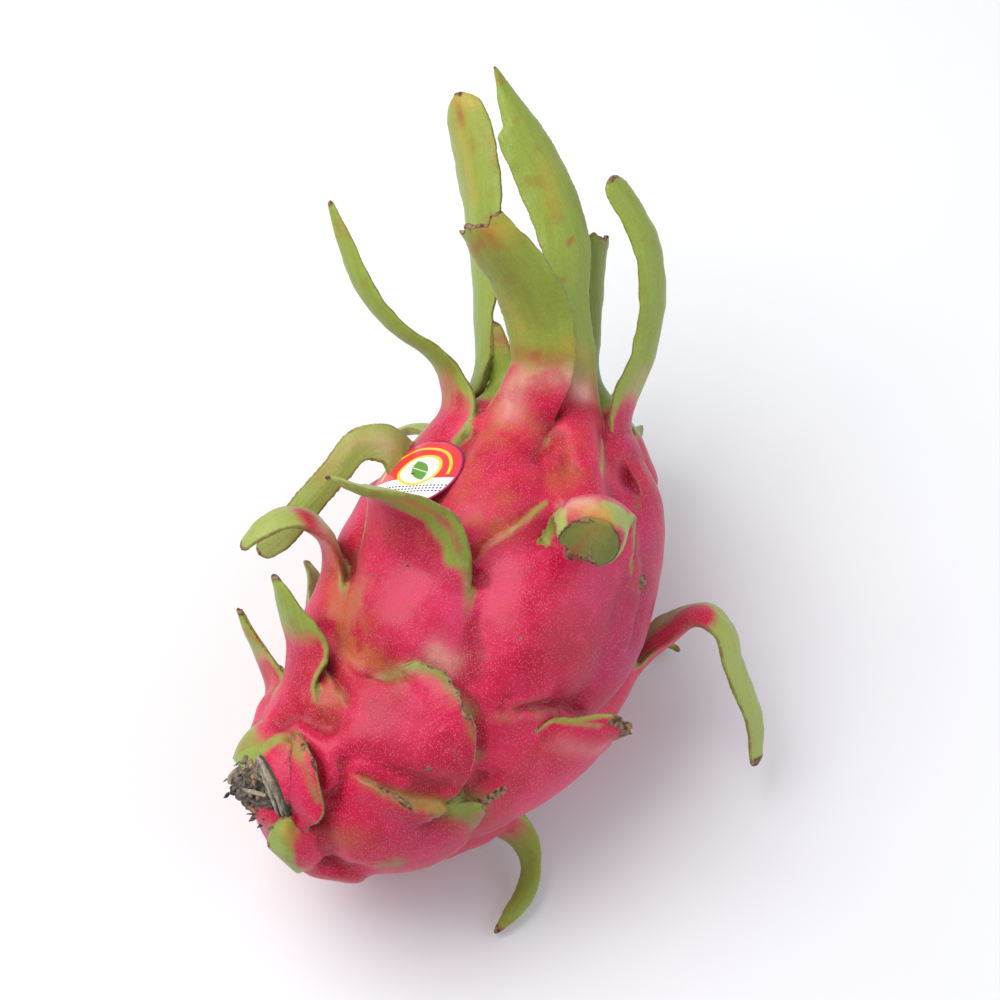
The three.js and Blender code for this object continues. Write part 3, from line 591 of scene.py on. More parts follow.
# ---------------------------------------------------------------- folds of the peel
# Lines on the peel where a margin stands proud or the skin creases. Each is (rise, dip, broad,
# narrow, seam, over, places): the skin rises so many millimetres on the left of the line, fading
# over the broad distance, and dips so many on its right, fading over the narrow one; seam is how
# much of an olive line is drawn along it, over is how far the skin there stands over the plain
# girth, and places are places of the main view, in thousandths of its width, right and down.
FOLDS = [
    # margin of the pad beside the stem end, and the groove under it
    (1.5, 1.0, 8, 4, 0.5, 1.5, [(350, 661), (365, 668), (380, 673), (395, 677), (410, 676), (424, 673),
                                (440, 685), (455, 696), (470, 706), (472, 722), (477, 745), (484, 762),
                                (485, 775)]),
    (-2.2, 2.2, 5, 3, 0, 0, [(326, 764), (338, 764), (352, 765), (368, 768), (384, 774), (400, 780),
                             (418, 786), (435, 790), (450, 800)]),
    (1.0, -1.0, 2, 2, 0, 1, [(341, 768), (357, 768), (373, 773), (388, 780), (404, 787), (420, 793)]),
    (1.8, 0.8, 9, 2.5, 0.7, 1.5, [(348, 772), (360, 779), (375, 787), (390, 797), (405, 804), (420, 809),
                                  (440, 809), (460, 807), (480, 806)]),
    (-1.4, 1.4, 3, 3, 0, 0, [(492, 770), (484, 780), (470, 789), (455, 797)]),
    # round the stem
    (-2.2, 2.2, 2.4, 2, 0, 0, [(278, 807), (290, 811), (304, 815), (318, 820), (330, 817), (337, 811),
                               (337, 798), (332, 785)]),
    (-2.6, 2.6, 2.6, 2.2, 0, -0.5, [(327, 808), (320, 818), (323, 832), (327, 848), (332, 862), (337, 872)]),
    (1.0, 1.2, 4, 3, 0.5, 2, [(281, 735), (288, 742), (302, 746), (308, 754), (310, 768), (314, 785),
                              (319, 800), (322, 811)]),
    (-0.8, -1.4, 2.5, 5, 0, 1, [(284, 728), (298, 735), (311, 746), (321, 760), (326, 775), (328, 792)]),
    (-1.6, 1.6, 2, 2, 0, 0, [(326, 862), (334, 868), (346, 871), (358, 867), (370, 861)]),
    # the pad above the stem
    (1.2, 1.0, 7, 2.5, 0.7, 1.5, [(296, 630), (304, 640), (312, 650), (322, 662), (332, 675), (341, 690),
                                  (347, 706)]),
    (1.1, -1.1, 2.2, 2.6, 0, 0.5, [(308, 624), (320, 640), (334, 658), (347, 676), (357, 692), (356, 707)]),
    (-1.5, 1.5, 2.4, 2.4, 0, 0, [(276, 712), (282, 725), (297, 717), (318, 720), (334, 725), (342, 734)]),
    # the grooves and margins of the shoulder
    (-1.6, 1.6, 5, 5, 0.2, 0, [(350, 520), (343, 550), (341, 580), (345, 610), (355, 635), (372, 650),
                               (395, 657), (420, 660)]),
    (-1.5, 1.5, 7, 7, 0, 0, [(462, 530), (470, 545), (480, 575), (487, 605), (482, 635), (470, 658),
                             (458, 676), (452, 690)]),
    (1.0, 0.8, 6, 4, 0.45, 1.5, [(466, 560), (474, 552), (484, 543), (500, 535), (518, 525), (535, 512),
                                 (548, 502)]),
    (0.7, 0.7, 5, 3, 0.15, 1, [(630, 524), (636, 540), (640, 560), (640, 585), (637, 605), (630, 635),
                               (622, 662)]),
    (1.0, 1.0, 7, 4, 0.5, 1, [(430, 522), (445, 540), (458, 558), (468, 578), (474, 590)]),
    # the belly
    (0.9, -0.9, 1.2, 1.2, 0.3, 0.5, [(508, 716), (525, 708), (542, 701), (560, 696)]),
    (1.2, 0.6, 8, 3, 0.7, 1.5, [(497, 714), (505, 718), (530, 717), (555, 718), (580, 722), (600, 726)]),
    # under the crown
    (-1.3, 1.3, 3, 3, 0, 0, [(600, 420), (607, 460), (615, 500), (622, 520)]),
    (-1.2, 1.2, 1.8, 1.8, 0, 0, [(551, 405), (547, 420), (543, 438), (537, 455), (529, 470)]),
    (-0.7, 0.7, 1.4, 1.4, 0, 0, [(556, 410), (553, 424), (550, 442), (548, 457)]),
    (-1.4, 1.4, 2.4, 2.4, 0, 0.5, [(558, 425), (561, 445), (567, 465), (576, 482)]),
]
# The same on sides that the main view doesn't show, without over, and with places (along, turn).
FAR_FOLDS = [
    (-1.2, 1.2, 3, 3, 0, [(72, -62), (69, -58), (66, -52)]),
    (-1.2, 1.2, 3.5, 3.5, 0, [(118, 88), (104, 84), (88, 88), (74, 96), (62, 100)]),
    (-1.4, 1.4, 4, 4, 0, [(128, -30), (114, -28), (100, -26), (90, -20)]),
]
LEDGE = 0.9  # how wide the step from a margin down to the skin beside it is
FOLD_STRENGTH = 1.25

# Marks on the peel: (kind, along, turn, half length, half width, slant), millimetres and degrees.
# The kinds are 0 for a dry scar, 1 for an olive-orange tinge and 2 for a pale, waxy bloom, which is lightened like the
# painted highlights of the strokes.
MARKS = [
    (0, 62, -16, 0.5, 0.4, 0), (0, 88, 20, 0.6, 0.4, 0), (0, 70, 30, 0.5, 0.5, 0), (0, 75, 160, 3, 1, 40),
    (0, 60, -120, 4, 1.2, 70), (0, 104, 200, 2, 1.5, 0),
    (1, 84, -26, 6, 10, 0), (1, 126, -6, 7, 9, 0), (1, 118, 20, 9, 5, 10), (1, 12, 60, 5, 4, 0),
    (1, 100, 62, 8, 5, 0), (1, 70, 110, 12, 6, 0), (1, 64, -150, 14, 9, 0),
    (2, 92, 40, 10, 6, 0), (2, 36, 20, 8, 6, 40), (2, 60, 100, 16, 10, 0),
]

# Strokes of colour over whatever part of the peel the main view shows there: (kind, strength,
# radius in millimetres, places), with places in thousandths of the view's width, right and down.
# The bloom strokes are painted highlights, the violet ones a painted reflection of bluish light,
# and some of the pale ones are painted glints.
STROKES = [
    # the torn leaf
    ("leaf", -1.6, 3, [(557, 385), (553, 420)]),
    ("leaf", -1, 3, [(508, 378), (520, 392), (548, 385)]),
    ("rust", 0.7, 3, [(502, 338), (526, 356), (560, 360)]),
    ("gold", 0.4, 3, [(504, 300), (520, 330)]),
    ("olive", 0.4, 4, [(500, 262), (540, 320)]),
    # painted glints, pale
    ("pale", 0.6, 4, [(512, 384), (508, 408)]),
    ("pale", 0.5, 3, [(526, 376), (548, 378)]),
    ("rust", 0.6, 2, [(474, 250), (486, 234), (494, 244)]),
    ("gold", 0.7, 3, [(486, 226), (506, 232)]),
    # the leaf behind it
    ("gold", 0.7, 3, [(458, 98), (470, 100)]),
    ("rust", 0.6, 1.2, [(458, 108), (462, 122)]),
    ("gold", 0.4, 2, [(460, 130), (474, 200)]),
    ("rust", 0.35, 0.7, [(486, 130), (498, 165)]),
    # the long leaf of the top
    ("rust", 0.8, 0.7, [(567, 243), (573, 239)]),
    ("gold", 0.5, 3, [(568, 345), (580, 352)]),
    ("pale", 0.9, 3, [(570, 375), (584, 392)]),
    ("leaf", -0.8, 3.5, [(572, 400), (585, 410)]),
    ("gold", 0.3, 3, [(545, 165), (555, 205)]),
    # the bent leaf on the right
    ("leaf", -0.9, 5, [(630, 412), (620, 445)]),
    # painted violet reflection
    ("violet", 0.6, 5, [(632, 408), (626, 450)]),
    ("pale", 0.4, 3, [(634, 394), (642, 376)]),
    ("leaf", 0.8, 1, [(618, 395), (606, 440), (604, 470)]),
    ("leaf", -1.8, 3.4, [(626, 462), (634, 484), (644, 512)]),
    # the slim leaf on the left
    ("ripe", 0.7, 3, [(436, 372), (448, 380)]),
    ("leaf", 0.9, 0.8, [(452, 368), (478, 410)]),
    ("leaf", -1.2, 2, [(484, 416), (488, 430)]),
    # the skin under the crown
    ("ripe", 0.6, 8, [(480, 450), (462, 490)]),
    ("ripe", 0.4, 6, [(502, 405), (492, 440), (470, 520), (500, 505)]),
    ("ripe", 0.5, 4, [(540, 480), (556, 470)]),
    ("ripe", 0.3, 2, [(612, 470), (622, 510)]),
    # the hooks on the left
    ("leaf", -1, 4, [(304, 512), (318, 535), (336, 554)]),
    ("pale", 0.5, 3, [(326, 540), (322, 520)]),
    ("rust", 0.3, 2.4, [(318, 478), (340, 454), (362, 438)]),
    ("pale", 0.5, 3, [(376, 440), (388, 446)]),
    # painted violet reflection
    ("violet", 0.5, 3, [(284, 628), (296, 660)]),
    ("leaf", -0.6, 1.6, [(244, 630), (256, 640)]),
    ("pale", 0.3, 2, [(262, 652), (270, 690)]),
    # the pad over the middle
    ("ripe", 0.9, 4, [(338, 590), (350, 640)]),
    ("ripe", 0.7, 4, [(336, 556), (342, 590)]),
    ("ripe", 0.7, 3.6, [(352, 646), (386, 664)]),
    ("ripe", 0.5, 3, [(366, 524), (420, 536)]),
    ("leaf", 0.9, 2.2, [(352, 500), (400, 506), (428, 518), (446, 540), (453, 560)]),
    ("rust", 0.4, 0.8, [(372, 512), (410, 522)]),
    ("gold", 0.4, 2, [(400, 500), (426, 512)]),
    ("scar", 0.8, 0.6, [(370, 575), (372, 577)]),
    ("scar", 0.7, 0.6, [(405, 563), (409, 565)]),
    # the thick curled scale
    ("leaf", -0.8, 3, [(566, 500), (590, 496)]),
    ("pale", 0.9, 3, [(570, 505), (588, 502)]),
    ("gold", 0.9, 2.8, [(594, 508), (606, 516)]),
    ("gold", 0.4, 2.6, [(580, 508), (590, 512)]),
    ("leaf", 1.1, 2.6, [(616, 516), (630, 526)]),
    ("leaf", 0.8, 2.2, [(606, 504), (620, 510)]),
    ("leaf", 1, 1.8, [(562, 515), (564, 535)]),
    ("leaf", 0.8, 1.4, [(558, 506), (560, 515)]),
    ("pale", 0.6, 0.9, [(562, 503), (572, 499)]),
    ("scar", 1, 0.9, [(584, 521), (592, 523)]),
    ("scar", 0.8, 0.7, [(592, 542), (592, 543)]),
    ("scar", 0.8, 0.8, [(594, 556), (597, 557)]),
    ("scar", 0.8, 0.7, [(608, 556), (609, 558)]),
    ("rust", 0.9, 1.3, [(574, 552), (580, 560)]),
    ("leaf", 0.8, 0.9, [(546, 502), (524, 522), (505, 535)]),
    ("leaf", 0.4, 0.7, [(636, 530), (642, 560), (642, 590)]),
    ("scar", 0.9, 0.7, [(646, 576), (647, 588)]),
    # the pad beside the stem end
    ("olive", 0.9, 2.3, [(384, 674), (412, 668), (440, 672), (458, 692), (468, 712)]),
    ("olive", 0.6, 1.2, [(468, 716), (472, 736), (480, 756)]),
    ("scar", 1.1, 0.7, [(430, 667), (448, 675)]),
    ("scar", 1, 0.6, [(452, 680), (466, 700)]),
    # a painted highlight, pale
    ("pale", 0.8, 3, [(436, 652), (450, 660)]),
    ("leaf", -0.9, 2.4, [(400, 690), (440, 700)]),
    # the pad under it
    ("olive", 0.9, 2.8, [(438, 808), (480, 802)]),
    ("olive", 0.9, 3, [(462, 812), (478, 822)]),
    ("olive", 0.8, 1.4, [(368, 782), (398, 795), (425, 806)]),
    ("scar", 0.9, 0.6, [(378, 785), (402, 799)]),
    ("scar", 0.7, 0.8, [(480, 800), (487, 804)]),
    ("gold", 0.4, 1.6, [(400, 798), (440, 806)]),
    # painted violet reflection
    ("violet", 0.5, 6, [(400, 830), (440, 845)]),
    ("leaf", -1.2, 2.2, [(440, 822), (470, 832)]),
    # round the stem
    ("olive", 0.9, 2, [(384, 866), (398, 862)]),
    ("olive", 0.9, 2, [(288, 738), (300, 750)]),
    ("olive", 0.7, 1, [(300, 752), (308, 775), (318, 800)]),
    ("gold", 0.3, 2, [(290, 742), (300, 756)]),
    ("scar", 0.8, 0.6, [(302, 744), (303, 750)]),
    # painted violet reflection
    ("violet", 0.3, 3, [(292, 775), (298, 800)]),
    ("leaf", 0.6, 2.2, [(272, 832), (276, 850)]),
    ("gold", 0.5, 2, [(284, 830), (290, 838)]),
    ("rust", 0.5, 1.8, [(292, 826), (298, 842)]),
    ("leaf", -0.8, 3, [(300, 845), (304, 862)]),
    ("scar", 0.9, 0.7, [(264, 832), (272, 828)]),
    ("leaf", 0.9, 2.2, [(262, 750), (278, 738)]),
    # the belly
    ("leaf", 0.6, 0.8, [(560, 722), (600, 726)]),
    ("scar", 1, 1.2, [(612, 722), (625, 726)]),
    ("scar", 0.5, 0.5, [(530, 710), (560, 696)]),
    ("pale", 0.35, 3, [(560, 745), (600, 750)]),
    ("ripe", 0.3, 4, [(540, 750), (520, 760)]),
    # the far side of the right, with a painted violet reflection of bluish light
    ("violet", 0.8, 9, [(642, 550), (644, 610), (636, 650)]),
    ("violet", 0.6, 7, [(636, 500), (644, 540)]),
    ("violet", 0.5, 8, [(600, 680), (622, 670)]),
    ("violet", 0.35, 9, [(600, 600), (610, 640)]),
    ("leaf", -1.7, 5.5, [(664, 636), (676, 626), (690, 616)]),
    ("leaf", -1, 3.4, [(690, 612), (698, 610)]),
    # scars, tinges, and painted highlights on the pads
    ("scar", 1, 1.2, [(492, 797), (504, 789)]),
    ("scar", 0.9, 0.7, [(489, 800)]),
    ("scar", 1, 0.9, [(638, 578), (643, 588)]),
    ("scar", 1, 1.3, [(569, 551), (571, 555)]),
    ("scar", 1, 0.9, [(398, 800), (410, 806)]),
    ("scar", 1, 0.6, [(430, 770)]),
    ("ripe", 1, 6, [(346, 566), (354, 596)]),
    ("ripe", 1, 6.5, [(342, 615), (350, 635)]),
    ("ripe", 1, 4, [(352, 640), (372, 652)]),
    ("ripe", 1, 4, [(326, 694), (336, 708)]),
    ("ripe", 1, 5.5, [(497, 525), (514, 515)]),
    ("bloom", 1, 11, [(432, 592), (448, 608)]),
    ("bloom", 1, 8, [(484, 570), (497, 550)]),
    ("bloom", 1, 6, [(432, 662), (450, 668)]),
]
LONGEST_LEAP = 25  # a stroke doesn't run on to a part of the peel that lies farther behind


def fold_profile(signed, rise, dip, broad, narrow):
    left = rise * np.exp(-(np.maximum(signed, 0) / broad) ** 2)
    right = -dip * np.exp(-(np.maximum(-signed - LEDGE, 0) / narrow) ** 2)
    share = np.clip(-signed / LEDGE, 0, 1)
    return left + (right - left) * share * share * (3 - 2 * share)


def marks_at(along, turn, girth):
    """How much of each kind of mark there is at many places of the peel."""
    amount = np.zeros((len(along), 3))
    for kind, mark_along, mark_turn, long, wide, slant in MARKS:
        x = along - mark_along
        y = np.radians((turn - mark_turn + 180) % 360 - 180) * girth
        c, s = math.cos(math.radians(slant)), math.sin(math.radians(slant))
        far = ((c * x + s * y) / long) ** 2 + ((c * y - s * x) / wide) ** 2
        amount[:, kind] = np.maximum(amount[:, kind], np.exp(-far))
    return amount


def stroked(points, strokes, kind):
    """How much of one kind of colour the strokes lay on many points."""
    amount = np.zeros(len(points))
    for name, strength, radius, line in strokes:
        if name != kind or not line:
            continue
        stretches = [(a, b) for a, b in zip(line, line[1:]) if np.linalg.norm(b - a) < LONGEST_LEAP]
        away = np.full(len(points), np.inf)
        for start, end in stretches or [(line[0], line[0])]:
            way = end - start
            share = np.clip((points - start) @ way / max(way @ way, 0.01), 0, 1)
            away = np.minimum(away, np.linalg.norm(points - start - share[:, None] * way, axis=1))
        amount += strength * np.exp(-(away / radius) ** 2)
    return amount


def store_vectors(mesh, name, columns):
    layer = mesh.attributes.get(name) or mesh.attributes.new(name, "FLOAT_VECTOR", "POINT")
    layer.data.foreach_set("vector", np.stack(columns, -1).astype(np.float32).ravel())


def fold_peel(mesh):
    """Raises the margins and sinks the creases of the peel, and stores its seams and colours."""
    count = len(mesh.vertices)
    points = np.empty(count * 3, np.float32)
    mesh.vertices.foreach_get("co", points)
    points = points.reshape(-1, 3).astype(float) / MM
    growth = np.empty(count * 3, np.float32)
    mesh.attributes["growth"].data.foreach_get("vector", growth)
    tone = np.empty(count * 3, np.float32)
    mesh.attributes["tone"].data.foreach_get("vector", tone)
    tone = tone.reshape(-1, 3)
    skin = BVHTree.FromPolygons([v.co for v in mesh.vertices], [list(p.vertices) for p in mesh.polygons])
    strokes = [(*row, seen_on_mesh(skin, places)) for *row, places in STROKES]
    brushed = {kind: stroked(points, strokes, kind) for kind in sorted({row[0] for row in STROKES})}
    folds = [(*row, seen_on_body(places, over)) for *row, over, places in FOLDS] + FAR_FOLDS
    along, out, turn = places_of(points)
    girth = girth_at(along)
    hold = np.clip((7 - (out - girth)) / 4, 0, 1) * np.clip((0.25 - growth[::3]) / 0.2, 0, 1)
    lift, seam = np.zeros(count), np.zeros(count)
    for rise, dip, broad, narrow, tint, places in folds:
        rows = np.array(places, float)
        knots = np.concatenate([[0], np.cumsum(np.hypot(*np.diff(rows * (1, 0.65), axis=0).T))])
        line = smooth_through(knots, rows, np.linspace(0, knots[-1], 12 * len(rows)))
        mid = line.mean(0)
        delta = (turn - mid[1] + 180) % 360 - 180 + mid[1]
        reach = 2.2 * max(broad, narrow)
        near = np.flatnonzero((along > line[:, 0].min() - reach) & (along < line[:, 0].max() + reach)
                              & (delta > line[:, 1].min() - reach * 2.5) & (delta < line[:, 1].max() + reach * 2.5))
        round_mm = np.radians(girth[near])
        flat = np.stack([along[near], delta[near] * round_mm], -1)
        track = np.stack([np.repeat(line[None, :, 0], len(near), 0), line[None, :, 1] * round_mm[:, None]], -1)
        gap = flat[:, None] - track
        k = (gap ** 2).sum(-1).argmin(1)
        pick = np.arange(len(near))
        ahead = track[pick, np.minimum(k + 1, len(line) - 1)] - track[pick, np.maximum(k - 1, 0)]
        ahead /= np.linalg.norm(ahead, axis=-1, keepdims=True)
        off = gap[pick, k]
        side = off[:, 1] * ahead[:, 0] - off[:, 0] * ahead[:, 1]
        away = np.linalg.norm(off, axis=-1)
        signed = np.where(side > 0, away, -away)
        share = k / (len(line) - 1)
        ends = np.clip(share / 0.18, 0, 1) * np.clip((1 - share) / 0.18, 0, 1)
        ends = ends * ends * (3 - 2 * ends)
        lift[near] += ends * fold_profile(signed, rise, dip, broad, narrow)
        seam[near] = np.maximum(seam[near], ends * tint * np.exp(-((signed - 0.2) / 1.1) ** 2))
    points += outward(along, turn) * (FOLD_STRENGTH * lift * hold)[:, None]
    mesh.vertices.foreach_set("co", (points * MM).astype(np.float32).ravel())
    layer = mesh.attributes.new("seam", "FLOAT", "POINT")
    layer.data.foreach_set("value", (seam * hold).astype(np.float32))
    marks = marks_at(along, turn, girth) * hold[:, None]
    store_vectors(mesh, "tone", (tone[:, 0] + brushed["leaf"], tone[:, 1], tone[:, 2]))
    # scars, tinges, and pale bloom that is partly painted highlight
    store_vectors(mesh, "marks", [marks[:, i] + brushed[kind] for i, kind in enumerate(("scar", "ripe", "bloom"))])
    # gold and rust tints, and the painted violet reflection
    store_vectors(mesh, "shades", (brushed["gold"], brushed["rust"], brushed["violet"]))
    # pale washes, partly painted glints, and olive
    store_vectors(mesh, "washes", (brushed["pale"], brushed["olive"], brushed["pale"]))
    mesh.update()

# ---------------------------------------------------------------- finishes
def paint(red, green, blue):
    """A colour as the eye reads it, 0 to 255, made linear for a shader."""
    def linear(c):
        c /= 255
        return c / 12.92 if c <= 0.04045 else ((c + 0.055) / 1.055) ** 2.4
    return (linear(red), linear(green), linear(blue), 1)


class Finish:
    """A material, with short calls for the nodes that every finish here is made from."""

    def __init__(self, name):
        self.material = bpy.data.materials.new(name)
        self.material.use_nodes = True
        self.tree = self.material.node_tree
        self.surface = self.tree.nodes["Principled BSDF"]
        self.place = self.node("ShaderNodeTexCoord").outputs["Object"]

    def node(self, kind, settings=None, **values):
        return node_in(self.tree, kind, settings, **values)

    def parts(self, name):
        """The three numbers of a stored attribute."""
        stored = self.node("ShaderNodeAttribute", {"attribute_name": name})
        return self.node("ShaderNodeSeparateXYZ", Vector=stored.outputs["Vector"]).outputs

    def noise(self, size, detail=3.0, roughness=0.55, place=None, distortion=0.0):
        """Cloudy noise, 0 to 1, with clouds about so many millimetres across."""
        return self.node("ShaderNodeTexNoise", Vector=place or self.place, Scale=1 / (size * MM), Detail=detail,
                         Roughness=roughness, Distortion=distortion).outputs["Fac"]

    def cells(self, size, place=None, feature="F1"):
        """Distance to the nearest of many points about so many millimetres apart."""
        return self.node("ShaderNodeTexVoronoi", {"feature": feature}, Vector=place or self.place,
                         Scale=1 / (size * MM)).outputs["Distance"]

    def sum(self, operation, a, b=0.0, clamp=False):
        return self.node("ShaderNodeMath", {"operation": operation, "use_clamp": clamp}, _0=a, _1=b).outputs[0]

    def fade(self, value, low, high, start=0.0, end=1.0):
        """A number that goes smoothly from start to end as the value goes from low to high."""
        return self.node("ShaderNodeMapRange", {"interpolation_type": "SMOOTHSTEP"}, Value=value, From_Min=low,
                         From_Max=high, To_Min=start, To_Max=end).outputs["Result"]

    def mix(self, share, below, above, blend="MIX"):
        return self.node("ShaderNodeMix", {"data_type": "RGBA", "blend_type": blend}, _0=share, _6=below,
                         _7=above).outputs[2]

    def bump(self, height, depth, normal=None):
        """Relief of so many millimetres, over any relief that is already there."""
        node = self.node("ShaderNodeBump", Height=height, Distance=depth * MM)
        if normal:
            self.tree.links.new(normal, node.inputs["Normal"])
        return node.outputs["Normal"]

    def set(self, **values):
        for key, value in values.items():
            socket = self.surface.inputs[key.replace("_", " ")]
            if isinstance(value, bpy.types.NodeSocket):
                self.tree.links.new(value, socket)
            else:
                socket.default_value = value
        return self.material


def skin_finish():
    """Waxy crimson skin with pale pores, green and drying towards the ends of the scales."""
    f = Finish("skin")
    green, dry, inside = f.parts("tone")
    grown, rim, sliced = f.parts("growth")
    across, length, number = f.parts("fibre")
    scar, tinge, bloom = f.parts("marks")
    gilt, rust, violet = f.parts("shades")
    paleness_and_glint, olive, _ = f.parts("washes")
    hollow = f.node("ShaderNodeAttribute", {"attribute_name": "hollow"}).outputs["Fac"]
    seam = f.node("ShaderNodeAttribute", {"attribute_name": "seam"}).outputs["Fac"]
    lines = f.node("ShaderNodeCombineXYZ", X=f.sum("MULTIPLY", across, 1 * MM),
                   Y=f.sum("MULTIPLY", length, 0.09 * MM), Z=number).outputs[0]
    streaks = f.noise(1.6, 4.0, 0.6, lines)
    broad, blotch, grain = f.noise(24), f.noise(6, 4.0), f.noise(0.7, 3.0)
    pores = f.fade(f.cells(0.55), 0.16, 0.4, 1.0, 0.0)
    strewn = f.sum("MULTIPLY", pores, f.fade(f.noise(5), 0.3, 0.6, 0.2, 0.42))

    red = f.mix(f.fade(broad, 0.38, 0.62), paint(180, 0, 44), paint(208, 8, 70))
    red = f.mix(f.fade(blotch, 0.35, 0.75, 0, 0.3), red, paint(214, 34, 90))
    # Lighter pink where the bloom marks lie: a pale waxy bloom in part, and painted highlights on the pads.
    red = f.mix(f.sum("MULTIPLY", bloom, f.fade(blotch, 0.3, 0.6, 0.2, 0.4)), red, paint(228, 66, 116))
    # Darker crimson the deeper a hollow is: painted shade in the creases of the peel.
    red = f.mix(f.fade(hollow, 0.02, 0.3, 0, 0.8), red, paint(158, 0, 36))
    ripe = f.sum("MULTIPLY", tinge, f.fade(f.noise(9, 3.0), 0.35, 0.6))
    red = f.mix(f.sum("MULTIPLY", ripe, 0.75), red, paint(186, 84, 44))
    # A violet cast: painted reflection of bluish light.
    red = f.mix(f.sum("MULTIPLY", violet, f.fade(f.noise(7), 0.25, 0.65, 0.35, 0.65), clamp=True), red,
                paint(176, 42, 98))
    red = f.mix(strewn, red, paint(238, 136, 152))

    turning = f.sum("ADD", green, f.sum("MULTIPLY", f.sum("SUBTRACT", blotch, 0.5), 0.6))
    turning = f.sum("ADD", turning, f.sum("MULTIPLY", f.sum("SUBTRACT", streaks, 0.5), 0.4))
    blush = f.mix(f.fade(turning, 0.05, 0.5), red, paint(184, 112, 78))
    leaf = f.mix(streaks, paint(126, 144, 48), paint(156, 174, 70))
    leaf = f.mix(f.fade(f.noise(8), 0.55, 0.72, 0, 0.6), leaf, paint(148, 122, 40))
    leaf = f.mix(f.fade(inside, 0.2, 1.0, 0, 0.4), leaf, paint(182, 190, 112))
    gold = f.fade(f.sum("MULTIPLY", inside, -1.0), 0.1, 1.0)
    leaf = f.mix(f.sum("MULTIPLY", gold, f.fade(f.noise(12), 0.3, 0.55, 0.3, 0.85)), leaf, paint(178, 150, 48))
    leaf = f.mix(f.sum("MULTIPLY", gold, f.fade(f.noise(7, place=lines, roughness=0.4), 0.5, 0.62, 0, 0.8)), leaf,
                 paint(158, 76, 40))
    skin = f.mix(f.fade(turning, 0.3, 0.85), blush, leaf)
    flat_cut = f.mix(f.noise(5), paint(98, 110, 40), paint(128, 134, 66))
    flat_cut = f.mix(f.fade(f.noise(1.8, 2.0), 0.66, 0.74), flat_cut, paint(88, 72, 56))
    flat_cut = f.mix(f.fade(sliced, 0.55, 0.9, 1, 0), flat_cut, paint(84, 56, 36))
    skin = f.mix(f.fade(sliced, 0.1, 0.45), skin, flat_cut)
    uneven = f.fade(f.noise(4, 4.0), 0.3, 0.65, 0.6, 1.0)
    # Olive, gold, rust and pale washes; the pale one is partly painted glints.
    for wash, colour in ((olive, paint(126, 132, 62)), (gilt, paint(196, 162, 62)), (rust, paint(168, 62, 36)),
                         (paleness_and_glint, paint(224, 168, 148))):
        skin = f.mix(f.sum("MULTIPLY", f.sum("MINIMUM", wash, 0.9), uneven), skin, colour)
    edge = f.sum("MULTIPLY", f.fade(rim, 0.94, 0.99), f.fade(grown, -0.4, 0.0))
    skin = f.mix(f.sum("MULTIPLY", edge, f.fade(f.noise(3), 0.35, 0.6, 0.15, 0.7)), skin, paint(124, 92, 50))
    worn = f.sum("MULTIPLY", seam, f.fade(f.noise(4), 0.35, 0.6))
    skin = f.mix(worn, skin, f.mix(f.noise(2.5), paint(140, 96, 34), paint(160, 140, 78)))
    dead = f.sum("ADD", f.sum("MAXIMUM", dry, scar), f.sum("MULTIPLY", f.sum("SUBTRACT", f.noise(2.2), 0.5), 0.7))
    husk = f.mix(f.fade(f.noise(1.2, 4.0), 0.35, 0.65), paint(84, 50, 30), paint(172, 138, 100))
    skin = f.mix(f.fade(dead, 0.3, 0.55), skin, husk)
    skin = f.mix(f.fade(grain, 0.35, 0.75, 0, 0.12), skin, paint(90, 10, 30))

    normal = f.bump(f.noise(3.2, 3.0), 0.22)
    normal = f.bump(pores, 0.04, normal)
    normal = f.bump(grain, 0.05, normal)
    normal = f.bump(f.sum("MULTIPLY", streaks, f.fade(grown, -0.2, 0.2)), 0.28, normal)
    normal = f.bump(f.sum("MULTIPLY", f.noise(0.9, 5.0, 0.7), f.fade(dead, 0.3, 0.6)), 0.6, normal)
    roughness = f.sum("ADD", f.fade(blotch, 0.3, 0.7, 0.38, 0.5), f.fade(dead, 0.3, 0.6, 0.0, 0.4))
    return f.set(Base_Color=skin, Roughness=roughness, Normal=normal, IOR=1.42, Sheen_Weight=0.14,
                 Sheen_Roughness=0.45, Sheen_Tint=(0.75, 0.78, 1, 1), Subsurface_Weight=0.1,
                 Subsurface_Scale=2.5 * MM, Subsurface_Radius=(1.0, 0.3, 0.2))


def woody_finish(name, kinds, depth=0.4):
    """Dry, fibrous plant matter with lengthwise grain; each kind of bit has a dark and a light tone."""
    f = Finish(name)
    across, length, kind = f.parts("fibre")
    grain_place = f.node("ShaderNodeCombineXYZ", X=f.sum("MULTIPLY", across, 1 * MM),
                         Y=f.sum("MULTIPLY", length, 0.12 * MM), Z=kind).outputs[0]
    grain = f.noise(0.5, 5.0, 0.65, grain_place)
    crumb = f.noise(1.6, 5.0, 0.65)
    colour = None
    for number, (dark, light) in enumerate(kinds):
        toned = f.mix(f.fade(f.sum("ADD", f.sum("MULTIPLY", grain, 0.5), f.sum("MULTIPLY", crumb, 0.5)), 0.36, 0.64),
                      dark, light)
        colour = toned if colour is None else f.mix(f.fade(kind, number - 0.6, number - 0.4), colour, toned)
    colour = f.mix(f.fade(f.noise(0.6, 4.0), 0.55, 0.75, 0, 0.5), colour, paint(44, 36, 30))
    normal = f.bump(grain, depth, f.bump(f.noise(0.8, 4.0, 0.7), depth))
    return f.set(Base_Color=colour, Roughness=f.fade(grain, 0.2, 0.8, 0.72, 0.95), Normal=normal)


